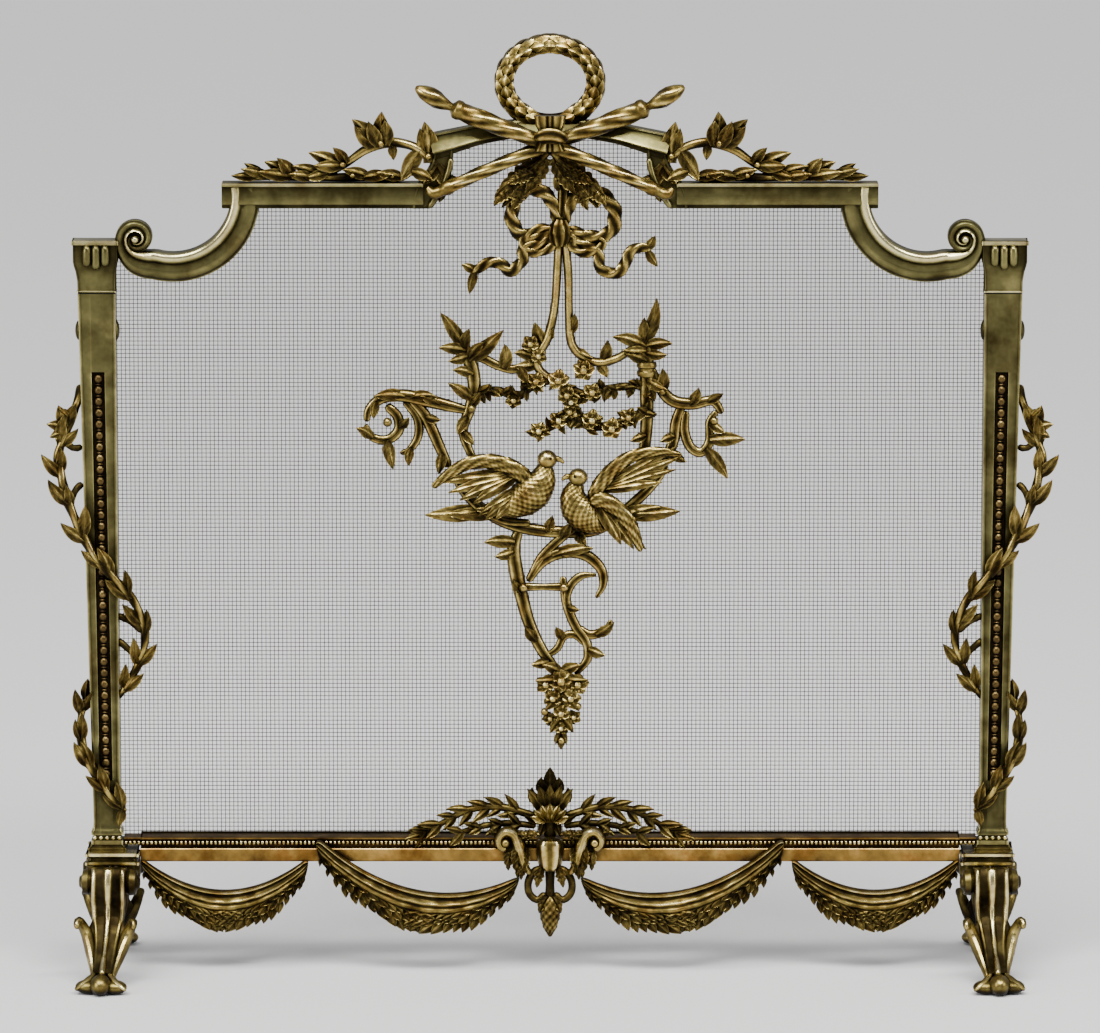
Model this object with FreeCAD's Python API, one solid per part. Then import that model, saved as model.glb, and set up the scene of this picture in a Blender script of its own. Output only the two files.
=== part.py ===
import FreeCAD, Part
import math
import os

# Free-standing cast brass fireplace screen, in millimetres.
# X runs to the viewer's right, Y to the back and Z up, with the floor at z = 0
# and the origin midway between the four toes.

# Frame
innerHalf = 309.0          # half the clear width between the posts
plinthTop = 90.0           # floor to the top of the plinth plates
openingHeight = 401.0      # plinth neck to the capital seam
frameDepth = 14.0          # posts and rails, front to back
fitGap = 0.3               # between pieces that are pinned or hung, not bolted flat
seatGap = 0.1              # round a spigot or screw in its hole

# Plinths and post feet
plinthThick = 9.0
plinthUnder = 14.0         # plinth's inner edge inside the post's
plinthWidth = 39.0
plinthDepth = 44.0
neckHeight = 4.0
neckWidth = 28.0
neckDepth = 16.0
postBaseHeight = 10.0
postBaseLip = 2.0

# Posts
postTopWidth = 27.0
postFootWidth = 19.0
channelWidth = 9.0
channelDepth = 2.5
channelFoot = 47.0         # above the foot of the post
channelHead = 58.0         # below the head of the post
spigotRadius = 4.0
spigotLength = 7.0
postBossRadius = 7.0
postBossDrop = 28.0

# Beads along the post channels
beadRadius = 2.4
beadPitch = 8.2
beadBedThick = 1.0

# Capitals
capitalNeck = 21.0
capHeight = 16.5
capOverInner = 3.0
capOverOuter = 4.0
capProud = 3.0
reedRadius = 2.2
reedPitch = 5.0

# Scrolled shoulders
scrollOuterRadius = 62.0
scrollInnerRadius = 41.0
scrollFromPost = 41.0      # post's inner face to the scroll's centre
scrollRise = 48.0          # capital underside to the scroll's centre
voluteRadius = 11.0
voluteProud = 3.0
eyeRadius = 4.0
shoulderDrop = 9.0         # shoulder's underside below the scroll's centre
shoulderThick = 18.5
shoulderOver = 6.0         # shoulder's end past the scroll band
returnInner = 68.0
returnOuter = 82.0
returnFoot = 94.0
archSeatRise = 33.0        # shoulder's underside to the arch's seat
archUnderRise = 19.0
archEndHeight = 18.0
archTopRise = 31.0

# Bottom rail
railHeight = 17.5
railProud = 2.0            # lower face of the rail in front of the frame
railCove = 8.0             # height of the set-back strip that holds the beads
railBeadRadius = 1.0

# Wire mesh and what holds it
meshLap = 8.0              # mesh behind the frame
meshThick = 1.0
stripThick = 2.0
stripWidth = 9.0
stripEnd = 6.0
screwRadius = 1.5
screwDepth = 5.0
screwHeadRadius = 3.0
screwHeadThick = 1.5
postScrews = 4
railScrews = 7
shoulderScrews = 3

# Feet
footWidth = 26.0
footSole = 92.0            # centre line of the screen to the tip of a toe
footSplay = 4.0            # degrees, turned outwards
earRadius = 10.0
earWidth = 45.0
toeRadius = 9.5
toeLobeRadius = 5.5
toeLobeWidth = 36.0
flareReach = 9.0
footScrewRadius = 2.5
footScrewHead = 4.5
footScrewSet = 12.0        # screw to the screen's centre plane
footScrewGrip = 17.0       # head to the top of the foot
footScrewThread = 6.0      # in the plinth

# Ornament
leafThick = 2.4
wreathHalfWidth = 32.5
wreathHalfHeight = 27.5
wreathBand = 7.0
torchRadius = 4.5
torchLayer = 4.6           # one torch in front of the other
vineRadius = 3.0
swagThick = 8.0
swagSag = 44.0
swagRim = 21.0
doveRadius = 13.0

# Levels and places that follow
plinthInner = innerHalf - plinthUnder
neckTop = plinthTop + neckHeight
plinthFoot = plinthTop - plinthThick
seamLevel = neckTop + openingHeight
capFoot = seamLevel + capitalNeck
capTop = capFoot + capHeight
frontFace = -frameDepth / 2
rearFace = frameDepth / 2
scrollX = innerHalf - scrollFromPost
scrollZ = capFoot + scrollRise
shoulderFoot = scrollZ - shoulderDrop
shoulderTop = shoulderFoot + shoulderThick
shoulderEnd = scrollX - scrollInnerRadius + shoulderOver
archSeat = shoulderFoot + archSeatRise
archUnder = archSeat + archUnderRise
archTop = archSeat + archTopRise
railFoot = plinthFoot + 0.5
railTop = railFoot + railHeight
railFront = frontFace - railProud
plinthMiddle = plinthInner + plinthWidth / 2
meshFront = rearFace
meshRear = meshFront + meshThick
stripRear = meshRear + stripThick
stripMiddle = innerHalf + stripWidth / 2 + fitGap

parts = {}


def vec(x, y, z):
    return FreeCAD.Vector(x, y, z)


def box(xLow, xHigh, yLow, yHigh, zLow, zHigh):
    return Part.makeBox(xHigh - xLow, yHigh - yLow, zHigh - zLow, vec(xLow, yLow, zLow))


def ball(x, y, z, radius):
    return Part.makeSphere(radius, vec(x, y, z))


def mirrored(shape):
    return shape.mirror(vec(0, 0, 0), vec(1, 0, 0))


def joined(first, others):
    return first.fuse(others).removeSplitter()


def largest(shape):
    return max(shape.Solids, key=lambda solid: solid.Volume)


# A piece trimmed where it meets its carriers, so that they touch face to face
def seated(piece, carriers):
    return largest(piece.cut(carriers))


def pair(name, rightShape):
    parts[name + "_right"] = rightShape
    parts[name + "_left"] = mirrored(rightShape)


def twins(rightShape):
    return Part.makeCompound([rightShape, mirrored(rightShape)])


# Closed front outline: (x, z) is a straight edge, (xMid, zMid, x, z) an arc
def outline(start, steps):
    edges = []
    here = vec(start[0], 0, start[1])
    for step in steps:
        there = vec(step[-2], 0, step[-1])
        if len(step) == 4:
            edges.append(Part.Arc(here, vec(step[0], 0, step[1]), there).toShape())
        else:
            edges.append(Part.LineSegment(here, there).toShape())
        here = there
    return Part.Wire(edges)


def slab(wire, yFront, thickness):
    face = Part.Face(wire)
    face.translate(vec(0, yFront, 0))
    return face.extrude(vec(0, thickness, 0))


# Round bar along straight runs joined by tangent arcs
def rod(points, radius):
    corners = [vec(*point) for point in points]
    edges = []
    here = corners[0]
    for before, corner, after in zip(corners, corners[1:], corners[2:]):
        runIn = corner - before
        runOut = after - corner
        reach = 0.45 * min(runIn.Length, runOut.Length)
        runIn.normalize()
        runOut.normalize()
        halfTurn = runIn.getAngle(runOut) / 2
        bendRadius = reach / math.tan(halfTurn)
        inwards = (runOut - runIn).normalize()
        centre = corner + inwards * (bendRadius / math.cos(halfTurn))
        arcStart = corner - runIn * reach
        arcEnd = corner + runOut * reach
        edges.append(Part.LineSegment(here, arcStart).toShape())
        edges.append(Part.Arc(arcStart, centre - inwards * bendRadius, arcEnd).toShape())
        here = arcEnd
    edges.append(Part.LineSegment(here, corners[-1]).toShape())
    section = Part.Wire([Part.Circle(corners[0], corners[1] - corners[0], radius).toShape()])
    return Part.Wire(edges).makePipeShell([section], True, False)


# Flat bar route at one depth, from (x, z) points
def flatRod(points, y, radius):
    return rod([(x, y, z) for x, z in points], radius)


# Lens-shaped leaf of two arcs, from its root along a heading in degrees above +X
def leaf(x, z, heading, length, width, y):
    turn = math.radians(heading)
    along = (math.cos(turn), math.sin(turn))
    across = (-along[1] * width / 2, along[0] * width / 2)
    middle = (x + along[0] * length / 2, z + along[1] * length / 2)
    tip = (x + along[0] * length, z + along[1] * length)
    upper = (middle[0] + across[0], middle[1] + across[1])
    lower = (middle[0] - across[0], middle[1] - across[1])
    return slab(outline((x, z), [upper + tip, lower + (x, z)]), y - leafThick / 2, leafThick)


def leaves(rows, y):
    return [leaf(x, z, heading, length, width, y) for x, z, heading, length, width in rows]


def rectangleAt(xLow, xHigh, yLow, yHigh, z):
    corners = [vec(xLow, yLow, z), vec(xHigh, yLow, z), vec(xHigh, yHigh, z), vec(xLow, yHigh, z)]
    return Part.makePolygon(corners + corners[:1])


def channelMiddle(z):
    share = (z - neckTop) / openingHeight
    return innerHalf + (postFootWidth + share * (postTopWidth - postFootWidth)) / 2


# Heights of the screws down one post
def postScrewLevels():
    first = railTop + stripEnd + stripWidth
    last = seamLevel - stripEnd - stripWidth
    return [first + (last - first) * i / (postScrews - 1) for i in range(postScrews)]


def railScrewPlaces():
    reach = plinthInner - 2 * stripEnd
    return [-reach + 2 * reach * i / (railScrews - 1) for i in range(railScrews)]


def shoulderScrewPlaces():
    first = returnFoot + 2 * stripEnd
    last = scrollX - scrollOuterRadius - stripEnd
    return [first + (last - first) * i / (shoulderScrews - 1) for i in range(shoulderScrews)]


def screwHole(x, z, yFrom, yTo):
    return Part.makeCylinder(screwRadius + seatGap, yTo - yFrom, vec(x, yFrom, z), vec(0, 1, 0))


def makePost():
    foot = rectangleAt(innerHalf, innerHalf + postFootWidth, frontFace, rearFace, neckTop)
    head = rectangleAt(innerHalf, innerHalf + postTopWidth, frontFace, rearFace, seamLevel)
    post = Part.makeLoft([foot, head], True, True)
    base = box(innerHalf - postBaseLip, innerHalf + postFootWidth + postBaseLip,
               railFront, rearFace, neckTop, neckTop + postBaseHeight)
    spigot = Part.makeCylinder(spigotRadius, spigotLength,
                               vec(channelMiddle(neckTop), 0, neckTop - spigotLength))
    bossLevel = seamLevel - postBossDrop
    boss = Part.makeCylinder(postBossRadius / 2, postTopWidth + 2,
                             vec(innerHalf - 1, 0, bossLevel), vec(1, 0, 0))
    post = joined(post, [base, spigot, boss])
    low = neckTop + channelFoot
    high = seamLevel - channelHead
    sections = []
    for level in (low, high):
        middle = channelMiddle(level)
        sections.append(rectangleAt(middle - channelWidth / 2, middle + channelWidth / 2,
                                    frontFace - 1, frontFace + channelDepth, level))
    post = post.cut(Part.makeLoft(sections, True, True))
    socket = Part.makeCylinder(spigotRadius + seatGap, spigotLength + 1,
                               vec(channelMiddle(seamLevel), 0, seamLevel - spigotLength - 1))
    holes = [screwHole(stripMiddle, z, rearFace - screwDepth, rearFace) for z in postScrewLevels()]
    return post.cut([socket] + holes)


def makePostBeads():
    low = neckTop + channelFoot + fitGap
    high = seamLevel - channelHead - fitGap
    bed = frontFace + channelDepth
    sections = []
    for level in (low, high):
        middle = channelMiddle(level)
        half = channelWidth / 2 - fitGap
        sections.append(rectangleAt(middle - half, middle + half, bed - beadBedThick, bed, level))
    strip = Part.makeLoft(sections, True, True)
    count = int((high - low - 2 * beadRadius) / beadPitch) + 1
    start = (low + high - (count - 1) * beadPitch) / 2
    beads = []
    for i in range(count):
        z = start + i * beadPitch
        beads.append(ball(channelMiddle(z), bed - beadBedThick, z, beadRadius))
    keep = box(innerHalf, innerHalf + postTopWidth, frontFace - beadRadius, bed, low, high)
    return joined(strip, [bead.common(keep) for bead in beads])


def makeCapital():
    inner = innerHalf - capOverInner
    outer = innerHalf + postTopWidth + capOverOuter
    neck = box(innerHalf, innerHalf + postTopWidth, frontFace, rearFace, seamLevel, capFoot)
    cap = box(inner, outer, frontFace - capProud, rearFace, capFoot, capTop)
    spigot = Part.makeCylinder(spigotRadius, spigotLength,
                               vec(channelMiddle(seamLevel), 0, seamLevel - spigotLength))
    reeds = []
    for i in (-1, 0, 1):
        x = channelMiddle(seamLevel) + i * reedPitch
        reeds.append(Part.makeCylinder(reedRadius, capHeight - reedRadius,
                                       vec(x, frontFace - capProud, capFoot + reedRadius)))
        reeds.append(ball(x, frontFace - capProud, capFoot + reedRadius, reedRadius))
    return joined(cap, [neck, spigot] + reeds)


def makePlinth():
    plate = box(plinthInner, plinthInner + plinthWidth, -plinthDepth / 2, plinthDepth / 2,
                plinthFoot, plinthTop)
    neckMiddle = channelMiddle(neckTop)
    neck = box(neckMiddle - neckWidth / 2, neckMiddle + neckWidth / 2,
               railFront, railFront + neckDepth - 0.5, plinthTop, neckTop)
    socket = Part.makeCylinder(spigotRadius + seatGap, spigotLength + 1,
                               vec(neckMiddle, 0, neckTop - spigotLength - 1))
    holes = []
    for side in (-1, 1):
        holes.append(Part.makeCylinder(footScrewRadius + seatGap, footScrewThread + 1,
                                       vec(plinthMiddle, side * footScrewSet, plinthFoot)))
    return joined(plate, [neck]).cut([socket] + holes)


# Scroll band from the shoulder's underside round to the capital, and its volute
def makeScrollRail():
    middle = (scrollInnerRadius + scrollOuterRadius) / 2
    brow = frontFace + 3
    profile = [
        Part.LineSegment(vec(scrollInnerRadius, brow, 0), vec(scrollInnerRadius, rearFace, 0)),
        Part.LineSegment(vec(scrollInnerRadius, rearFace, 0), vec(scrollOuterRadius, rearFace, 0)),
        Part.LineSegment(vec(scrollOuterRadius, rearFace, 0), vec(scrollOuterRadius, brow, 0)),
        Part.Arc(vec(scrollOuterRadius, brow, 0), vec(middle, frontFace - 1, 0),
                 vec(scrollInnerRadius, brow, 0)),
    ]
    face = Part.Face(Part.Wire([edge.toShape() for edge in profile]))
    face.rotate(vec(0, 0, 0), vec(0, 1, 0), 50)
    band = face.revolve(vec(0, 0, 0), vec(0, 1, 0), 130)
    band.translate(vec(scrollX, 0, scrollZ))
    voluteX = innerHalf - capOverInner - fitGap - voluteRadius
    voluteZ = capTop + 1
    volute = Part.makeCylinder(voluteRadius, frameDepth + voluteProud,
                               vec(voluteX, frontFace - voluteProud, voluteZ), vec(0, 1, 0))
    eye = Part.makeCylinder(eyeRadius, voluteProud,
                            vec(voluteX, frontFace - 2 * voluteProud + 1, voluteZ), vec(0, 1, 0))
    reach = scrollOuterRadius + voluteRadius
    keep = box(scrollX - reach, innerHalf - capOverInner - fitGap, frontFace - 3 * voluteProud,
               rearFace, scrollZ - reach, shoulderFoot)
    return joined(band, [volute, eye]).common(keep)


def makeShoulder():
    wire = outline((shoulderEnd, shoulderTop), [
        (shoulderEnd, shoulderFoot),
        (returnFoot, shoulderFoot),
        (returnInner + 5, shoulderFoot + 11, returnInner, archSeat),
        (returnOuter, archSeat),
        (returnOuter, shoulderTop),
        (shoulderEnd, shoulderTop),
    ])
    holes = [screwHole(x, shoulderFoot + stripWidth / 2 + fitGap, rearFace - screwDepth, rearFace)
             for x in shoulderScrewPlaces()]
    return slab(wire, frontFace, frameDepth).cut(holes)


def makeArch():
    wire = outline((-returnInner, archSeat), [
        (0, archUnder, returnInner, archSeat),
        (returnOuter, archSeat),
        (returnOuter, archSeat + archEndHeight),
        (0, archTop, -returnOuter, archSeat + archEndHeight),
        (-returnOuter, archSeat),
        (-returnInner, archSeat),
    ])
    return slab(wire, frontFace, frameDepth)


def makeBottomRail():
    lug = innerHalf - postBaseLip - fitGap
    body = box(-plinthInner + fitGap, plinthInner - fitGap, railFront, rearFace, railFoot, railTop)
    lugs = box(-lug, lug, frontFace, rearFace, neckTop + fitGap, railTop)
    cove = box(-innerHalf, innerHalf, railFront, frontFace, railTop - railCove, railTop)
    holes = [screwHole(x, railTop - stripWidth / 2 + 1, rearFace - screwDepth, rearFace)
             for x in railScrewPlaces()]
    return joined(body, [lugs]).cut([cove] + holes)


def makeRailBeading():
    reach = plinthInner - 2 * fitGap
    return Part.makeCylinder(railBeadRadius, 2 * reach,
                             vec(-reach, frontFace - railBeadRadius, railTop - railCove / 2),
                             vec(1, 0, 0))


def makeMeshPanel():
    side = innerHalf + meshLap
    lapRadius = scrollOuterRadius - meshLap
    top = shoulderFoot + meshLap
    low = railTop - meshLap
    angles = (-50, -115, -180 - math.degrees(math.asin((top - scrollZ) / lapRadius)))
    arc = []
    for angle in angles:
        turn = math.radians(angle)
        arc.append((scrollX + lapRadius * math.cos(turn), scrollZ + lapRadius * math.sin(turn)))
    upX = returnInner + meshLap - 1
    foot = returnFoot - 2
    knee = (returnInner + 12, top + 7)
    wire = outline((-side, low), [
        (side, low),
        (side, arc[0][1]),
        arc[0],
        arc[1] + arc[2],
        (foot, top),
        knee + (upX, archSeat),
        (upX, archSeat + meshLap),
        (0, archUnder + meshLap, -upX, archSeat + meshLap),
        (-upX, archSeat),
        (-knee[0], knee[1], -foot, top),
        (-arc[2][0], arc[2][1]),
        (-arc[1][0], arc[1][1], -arc[0][0], arc[0][1]),
        (-side, arc[0][1]),
        (-side, low),
    ])
    holes = []
    for z in postScrewLevels():
        holes.append(screwHole(stripMiddle, z, meshFront, meshRear))
        holes.append(screwHole(-stripMiddle, z, meshFront, meshRear))
    for x in railScrewPlaces():
        holes.append(screwHole(x, railTop - stripWidth / 2 + 1, meshFront, meshRear))
    for x in shoulderScrewPlaces():
        holes.append(screwHole(x, shoulderFoot + stripWidth / 2 + fitGap, meshFront, meshRear))
        holes.append(screwHole(-x, shoulderFoot + stripWidth / 2 + fitGap, meshFront, meshRear))
    return slab(wire, meshFront, meshThick).cut(holes)


def makePostStrip():
    low = railTop + stripEnd
    high = seamLevel - stripEnd
    strip = box(stripMiddle - stripWidth / 2, stripMiddle + stripWidth / 2, meshRear, stripRear,
                low, high)
    return strip.cut([screwHole(stripMiddle, z, meshRear, stripRear) for z in postScrewLevels()])


def makeRailStrip():
    middle = railTop - stripWidth / 2 + 1
    strip = box(-plinthInner, plinthInner, meshRear, stripRear,
                middle - stripWidth / 2, middle + stripWidth / 2)
    return strip.cut([screwHole(x, middle, meshRear, stripRear) for x in railScrewPlaces()])


def makeShoulderStrip():
    middle = shoulderFoot + stripWidth / 2 + fitGap
    places = shoulderScrewPlaces()
    strip = box(places[0] - stripEnd, places[-1] + stripEnd, meshRear, stripRear,
                middle - stripWidth / 2, middle + stripWidth / 2)
    return strip.cut([screwHole(x, middle, meshRear, stripRear) for x in places])


def makeScrew(x, z):
    shank = Part.makeCylinder(screwRadius, stripRear - rearFace + screwDepth - 0.5,
                              vec(x, rearFace - screwDepth + 0.5, z), vec(0, 1, 0))
    head = Part.makeCylinder(screwHeadRadius, screwHeadThick, vec(x, stripRear, z), vec(0, 1, 0))
    return joined(head, [shank])


def makeMeshScrews():
    screws = []
    for side in (-1, 1):
        for z in postScrewLevels():
            screws.append(makeScrew(side * stripMiddle, z))
        for x in shoulderScrewPlaces():
            screws.append(makeScrew(side * x, shoulderFoot + stripWidth / 2 + fitGap))
    for x in railScrewPlaces():
        screws.append(makeScrew(x, railTop - stripWidth / 2 + 1))
    return Part.makeCompound(screws)


# Console leg in its own frame: x across, the screen's centre plane at y = 0, toe to the front
def makeFootShape():
    height = plinthFoot
    wire = Part.Wire([
        Part.LineSegment(vec(0, -fitGap / 2, height), vec(0, -24, height)).toShape(),
        Part.Arc(vec(0, -24, height), vec(0, -37, height - 11), vec(0, -36, height - 26)).toShape(),
        Part.Arc(vec(0, -36, height - 26), vec(0, -52, 30), vec(0, -74, 14)).toShape(),
        Part.LineSegment(vec(0, -74, 14), vec(0, -74, 1)).toShape(),
        Part.Arc(vec(0, -74, 1), vec(0, -38, 24), vec(0, -22, 50)).toShape(),
        Part.Arc(vec(0, -22, 50), vec(0, -14, 58), vec(0, -fitGap / 2, 60)).toShape(),
        Part.LineSegment(vec(0, -fitGap / 2, 60), vec(0, -fitGap / 2, height)).toShape(),
    ])
    face = Part.Face(wire)
    face.translate(vec(-footWidth / 2, 0, 0))
    leg = face.extrude(vec(footWidth, 0, 0))
    toeY = toeRadius - footSole
    ear = Part.makeCylinder(earRadius, earWidth, vec(-earWidth / 2, -27, height - earRadius - 1),
                            vec(1, 0, 0))
    toe = ball(0, toeY, toeRadius - 1, toeRadius)
    lobe = Part.makeCylinder(toeLobeRadius, toeLobeWidth,
                             vec(-toeLobeWidth / 2, toeY + 4, toeLobeRadius), vec(1, 0, 0))
    flares = []
    for side in (-1, 1):
        flare = Part.Wire([
            Part.LineSegment(vec(0, 0, 26), vec(side * flareReach, 0, 50)).toShape(),
            Part.Arc(vec(side * flareReach, 0, 50), vec(side * 4, 0, 49), vec(0, 0, 44)).toShape(),
            Part.LineSegment(vec(0, 0, 44), vec(0, 0, 26)).toShape(),
        ])
        plate = Part.Face(flare)
        plate.translate(vec(side * (footWidth / 2 - 0.5), -46, 0))
        flares.append(plate.extrude(vec(0, 10, 0)))
    foot = joined(leg, [ear, toe, lobe] + flares)
    return foot.common(box(-earWidth, earWidth, -2 * footSole, -fitGap / 2, 0, height))


def makeFoot(front):
    foot = makeFootShape()
    if not front:
        foot = foot.mirror(vec(0, 0, 0), vec(0, 1, 0))
    turn = footSplay if front else -footSplay
    foot.rotate(vec(0, 0, 0), vec(0, 0, 1), turn)
    side = -1 if front else 1
    foot.translate(vec(plinthMiddle, 0, 0))
    keep = box(plinthMiddle - footSole, plinthMiddle + footSole, -2 * footSole, -fitGap / 2,
               0, plinthFoot)
    if not front:
        keep = keep.mirror(vec(0, 0, 0), vec(0, 1, 0))
    place = vec(plinthMiddle, side * footScrewSet, 0)
    hole = Part.makeCylinder(footScrewRadius + seatGap, plinthFoot, place)
    bore = Part.makeCylinder(footScrewHead + seatGap, plinthFoot - footScrewGrip, place)
    return foot.common(keep).cut([hole, bore])


def makeFootScrews():
    screws = []
    for x in (-plinthMiddle, plinthMiddle):
        for y in (-footScrewSet, footScrewSet):
            base = plinthFoot - footScrewGrip
            head = Part.makeCylinder(footScrewHead, 3, vec(x, y, base - 3))
            shank = Part.makeCylinder(footScrewRadius, footScrewGrip + footScrewThread,
                                      vec(x, y, base))
            screws.append(joined(head, [shank]))
    return Part.makeCompound(screws)


# Crest, with heights measured from the top of the arch
def makeWreath(arch):
    wreath = Part.makeTorus(wreathHalfWidth, wreathBand, vec(0, 0, 0), vec(0, 1, 0))
    squash = FreeCAD.Matrix()
    squash.A33 = wreathHalfHeight / wreathHalfWidth
    wreath = wreath.transformGeometry(squash)
    wreath.translate(vec(0, 0, archTop + wreathHalfHeight - 2))
    return seated(wreath, [arch])


# Torch leaning to the right: flame, collar, shaft and curled handle
def makeTorch(y):
    shaft = [(-69, 9), (-9, -14), (16, -22), (72, -47), (84, -49), (88, -41)]
    bar = flatRod([(x, archTop + z) for x, z in shaft], y, torchRadius)
    start = vec(-70, y, archTop + 9.4)
    away = vec(-24, 0, 13)
    flame = Part.makeCone(torchRadius + 3, 1.5, away.Length, start, away)
    collar = Part.makeCylinder(torchRadius + 3, 3, start - vec(-2, 0, 1), away)
    return joined(bar, [flame, collar])


def makeKnot(yBack):
    wire = outline((-10, archTop - 21), [
        (10, archTop - 21),
        (13, archTop - 8, 10, archTop + 6),
        (-10, archTop + 6),
        (-13, archTop - 8, -10, archTop - 21),
    ])
    return slab(wire, yBack - 6, 6)


def makeSpray(reach, drop, carriers):
    y = frontFace + 2.5
    rows = [(reach * 0.1, archTop - 33, -142, 44, 13), (reach * 0.1, archTop - 33, -125, 34, 12),
            (reach * 0.1, archTop - 34, -158, 40, 10)]
    stem = flatRod([(0, archTop - 22), (-reach * 0.25, archTop - 33), (-reach, archTop - drop)],
                   y, 2.4)
    return seated(joined(stem, leaves(rows, y)), carriers)


# Laurel branch along a shoulder, right hand, heights from the shoulder's top
def makeLaurel():
    lift = vineRadius + fitGap
    route = [(returnOuter + fitGap, 17), (108, 28), (128, 28), (150, 16), (172, 6), (213, lift)]
    rows = [(92, 22, 118, 22, 11), (98, 24, 84, 24, 10), (116, 28, 28, 34, 13), (120, 28, 128, 20, 9),
            (150, 16, 40, 26, 11), (168, 8, 62, 20, 9), (190, 5, 34, 24, 10), (140, 21, -62, 14, 8)]
    stem = flatRod([(x, shoulderTop + z) for x, z in route], 0, vineRadius)
    blades = [(x, shoulderTop + z, heading, length, width) for x, z, heading, length, width in rows]
    trunk = box(returnOuter - 9, returnOuter, -9, 9, shoulderTop, shoulderTop + 40)
    return joined(stem, leaves(blades, 0)).cut(trunk)


# Vines on a post, right hand: x from its inner face, y from its front face, z from the seam
def makeUpperVine(post):
    route = [(31, 7, -92), (39, 4, -108), (40, 2, -128), (35, -4, -150), (22, -4.2, -181),
             (8, -4.2, -200), (-8, -2, -216), (-18, 4, -240), (-17, 6, -262), (-4.5, 6, -286)]
    rows = [(38, -106, 75, 22, 12), (38, -116, 10, 8, 8), (38, -128, 40, 10, 8),
            (34, -144, -35, 14, 9), (24, -176, -10, 22, 11), (16, -190, -150, 20, 10),
            (-16, -232, -160, 20, 12), (-17, -250, 200, 14, 9)]
    return makeVine(route, rows, post)


def makeLowerVine(post):
    route = [(24.5, 6, -296), (27, 0, -318), (24, -5, -338), (12, -5.2, -358), (-4, -3, -376)]
    rows = [(27, -318, 30, 12, 9), (24, -336, 0, 14, 9), (2, -368, -120, 14, 9)]
    return makeVine(route, rows, post)


def makeVine(route, rows, post):
    stem = rod([(innerHalf + x, frontFace + y, seamLevel + z) for x, y, z in route], vineRadius)
    blades = []
    for x, z, heading, length, width in rows:
        nearest = min(route, key=lambda point: abs(point[2] - z))
        blades.append(leaf(innerHalf + x, seamLevel + z, heading, length, width,
                           frontFace + nearest[1]))
    return seated(joined(stem, blades), [post])


# Swag hung from two points, with a leafy lower edge
def makeSwag(xFrom, xTo, zFrom, zTo, yFront):
    middle = (xFrom + xTo) / 2
    rim = (zFrom + zTo) / 2 - swagRim
    low = (zFrom + zTo) / 2 - swagSag
    width = 9.0
    wire = outline((xFrom, zFrom), [
        (xFrom + width, zFrom),
        (middle, rim, xTo - width, zTo),
        (xTo, zTo),
        (middle, low, xFrom, zFrom),
    ])
    return slab(wire, yFront, swagThick)


# Palmette at the middle of the bottom rail
def makeShell():
    wire = outline((-9, railTop), [
        (9, railTop),
        (9, railTop + 16),
        (16, railTop + 40),
        (0, railTop + 51, -16, railTop + 40),
        (-9, railTop + 16),
        (-9, railTop),
    ])
    return slab(wire, frontFace + 1, 5)


def makeAcanthus():
    y = railFront - 5 - fitGap
    wire = outline((11, railTop + 8), [
        (30, railTop + 2, 37, railTop - 10),
        (34, railTop - 22, 24, railTop - 27),
        (17, railTop - 21.5),
        (11, railTop - 21.5),
        (11, railTop + 8),
    ])
    return slab(wire, y, 5)


def makePendant():
    y = railFront - fitGap - 4
    wire = outline((-10.5, railTop), [
        (10.5, railTop),
        (10.5, railTop - 22),
        (15.5, railTop - 30, 8, railTop - 38),
        (10, railTop - 60, 0, railTop - 71),
        (-10, railTop - 60, -8, railTop - 38),
        (-15.5, railTop - 30, -10.5, railTop - 22),
        (-10.5, railTop),
    ])
    boss = ball(0, y, railTop - 11, 9).common(box(-9, 9, y - 9, y + 2, railTop - 20, railTop - 2))
    return joined(slab(wire, y, 4), [boss])


def makeRailSpray(shell):
    stemRadius = 2.4
    lift = stemRadius + fitGap
    route = [(90, lift), (76, 14), (56, 24), (34, 24), (6, 14)]
    rows = [(84, 6, 70, 18, 8), (74, 15, 88, 16, 8), (62, 22, 110, 17, 8), (48, 24, 60, 14, 8),
            (36, 24, 120, 15, 8), (66, 20, -60, 15, 8), (50, 24, -100, 16, 8), (30, 23, -70, 15, 8)]
    y = frontFace + 3.5
    stem = flatRod([(x, railTop + z) for x, z in route], y, stemRadius)
    blades = [(x, railTop + z, heading, length, width) for x, z, heading, length, width in rows]
    return seated(joined(stem, leaves(blades, y)), [shell])


# Hanging trophy: x from the middle, z measured from the arch's underside
def hung(points):
    return [(x, archUnder + z) for x, z in points]


def hungLeaves(rows, y):
    return leaves([(x, archUnder + z, heading, length, width)
                   for x, z, heading, length, width in rows], y)


def makeBow():
    stalk = flatRod(hung([(5, -fitGap - 0.2), (3, -34), (4, -68)]), 0, 2.8)
    leftLoop = flatRod(hung([(4, -68), (-6, -50), (-20, -40), (-34, -50), (-30, -68), (-12, -76),
                             (3, -70)]), 0, 3)
    rightLoop = flatRod(hung([(4, -68), (16, -48), (30, -38), (45, -50), (42, -66), (24, -74),
                              (5, -70)]), 0, 3)
    return joined(ball(4, 0, archUnder - 69, 7), [stalk, leftLoop, rightLoop])


def makeTail(points, bow):
    return seated(flatRod(hung(points), -1, 3), [bow])


def makeStrap(points, carriers):
    return seated(flatRod(hung(points), 0, 2.5), carriers)


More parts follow.
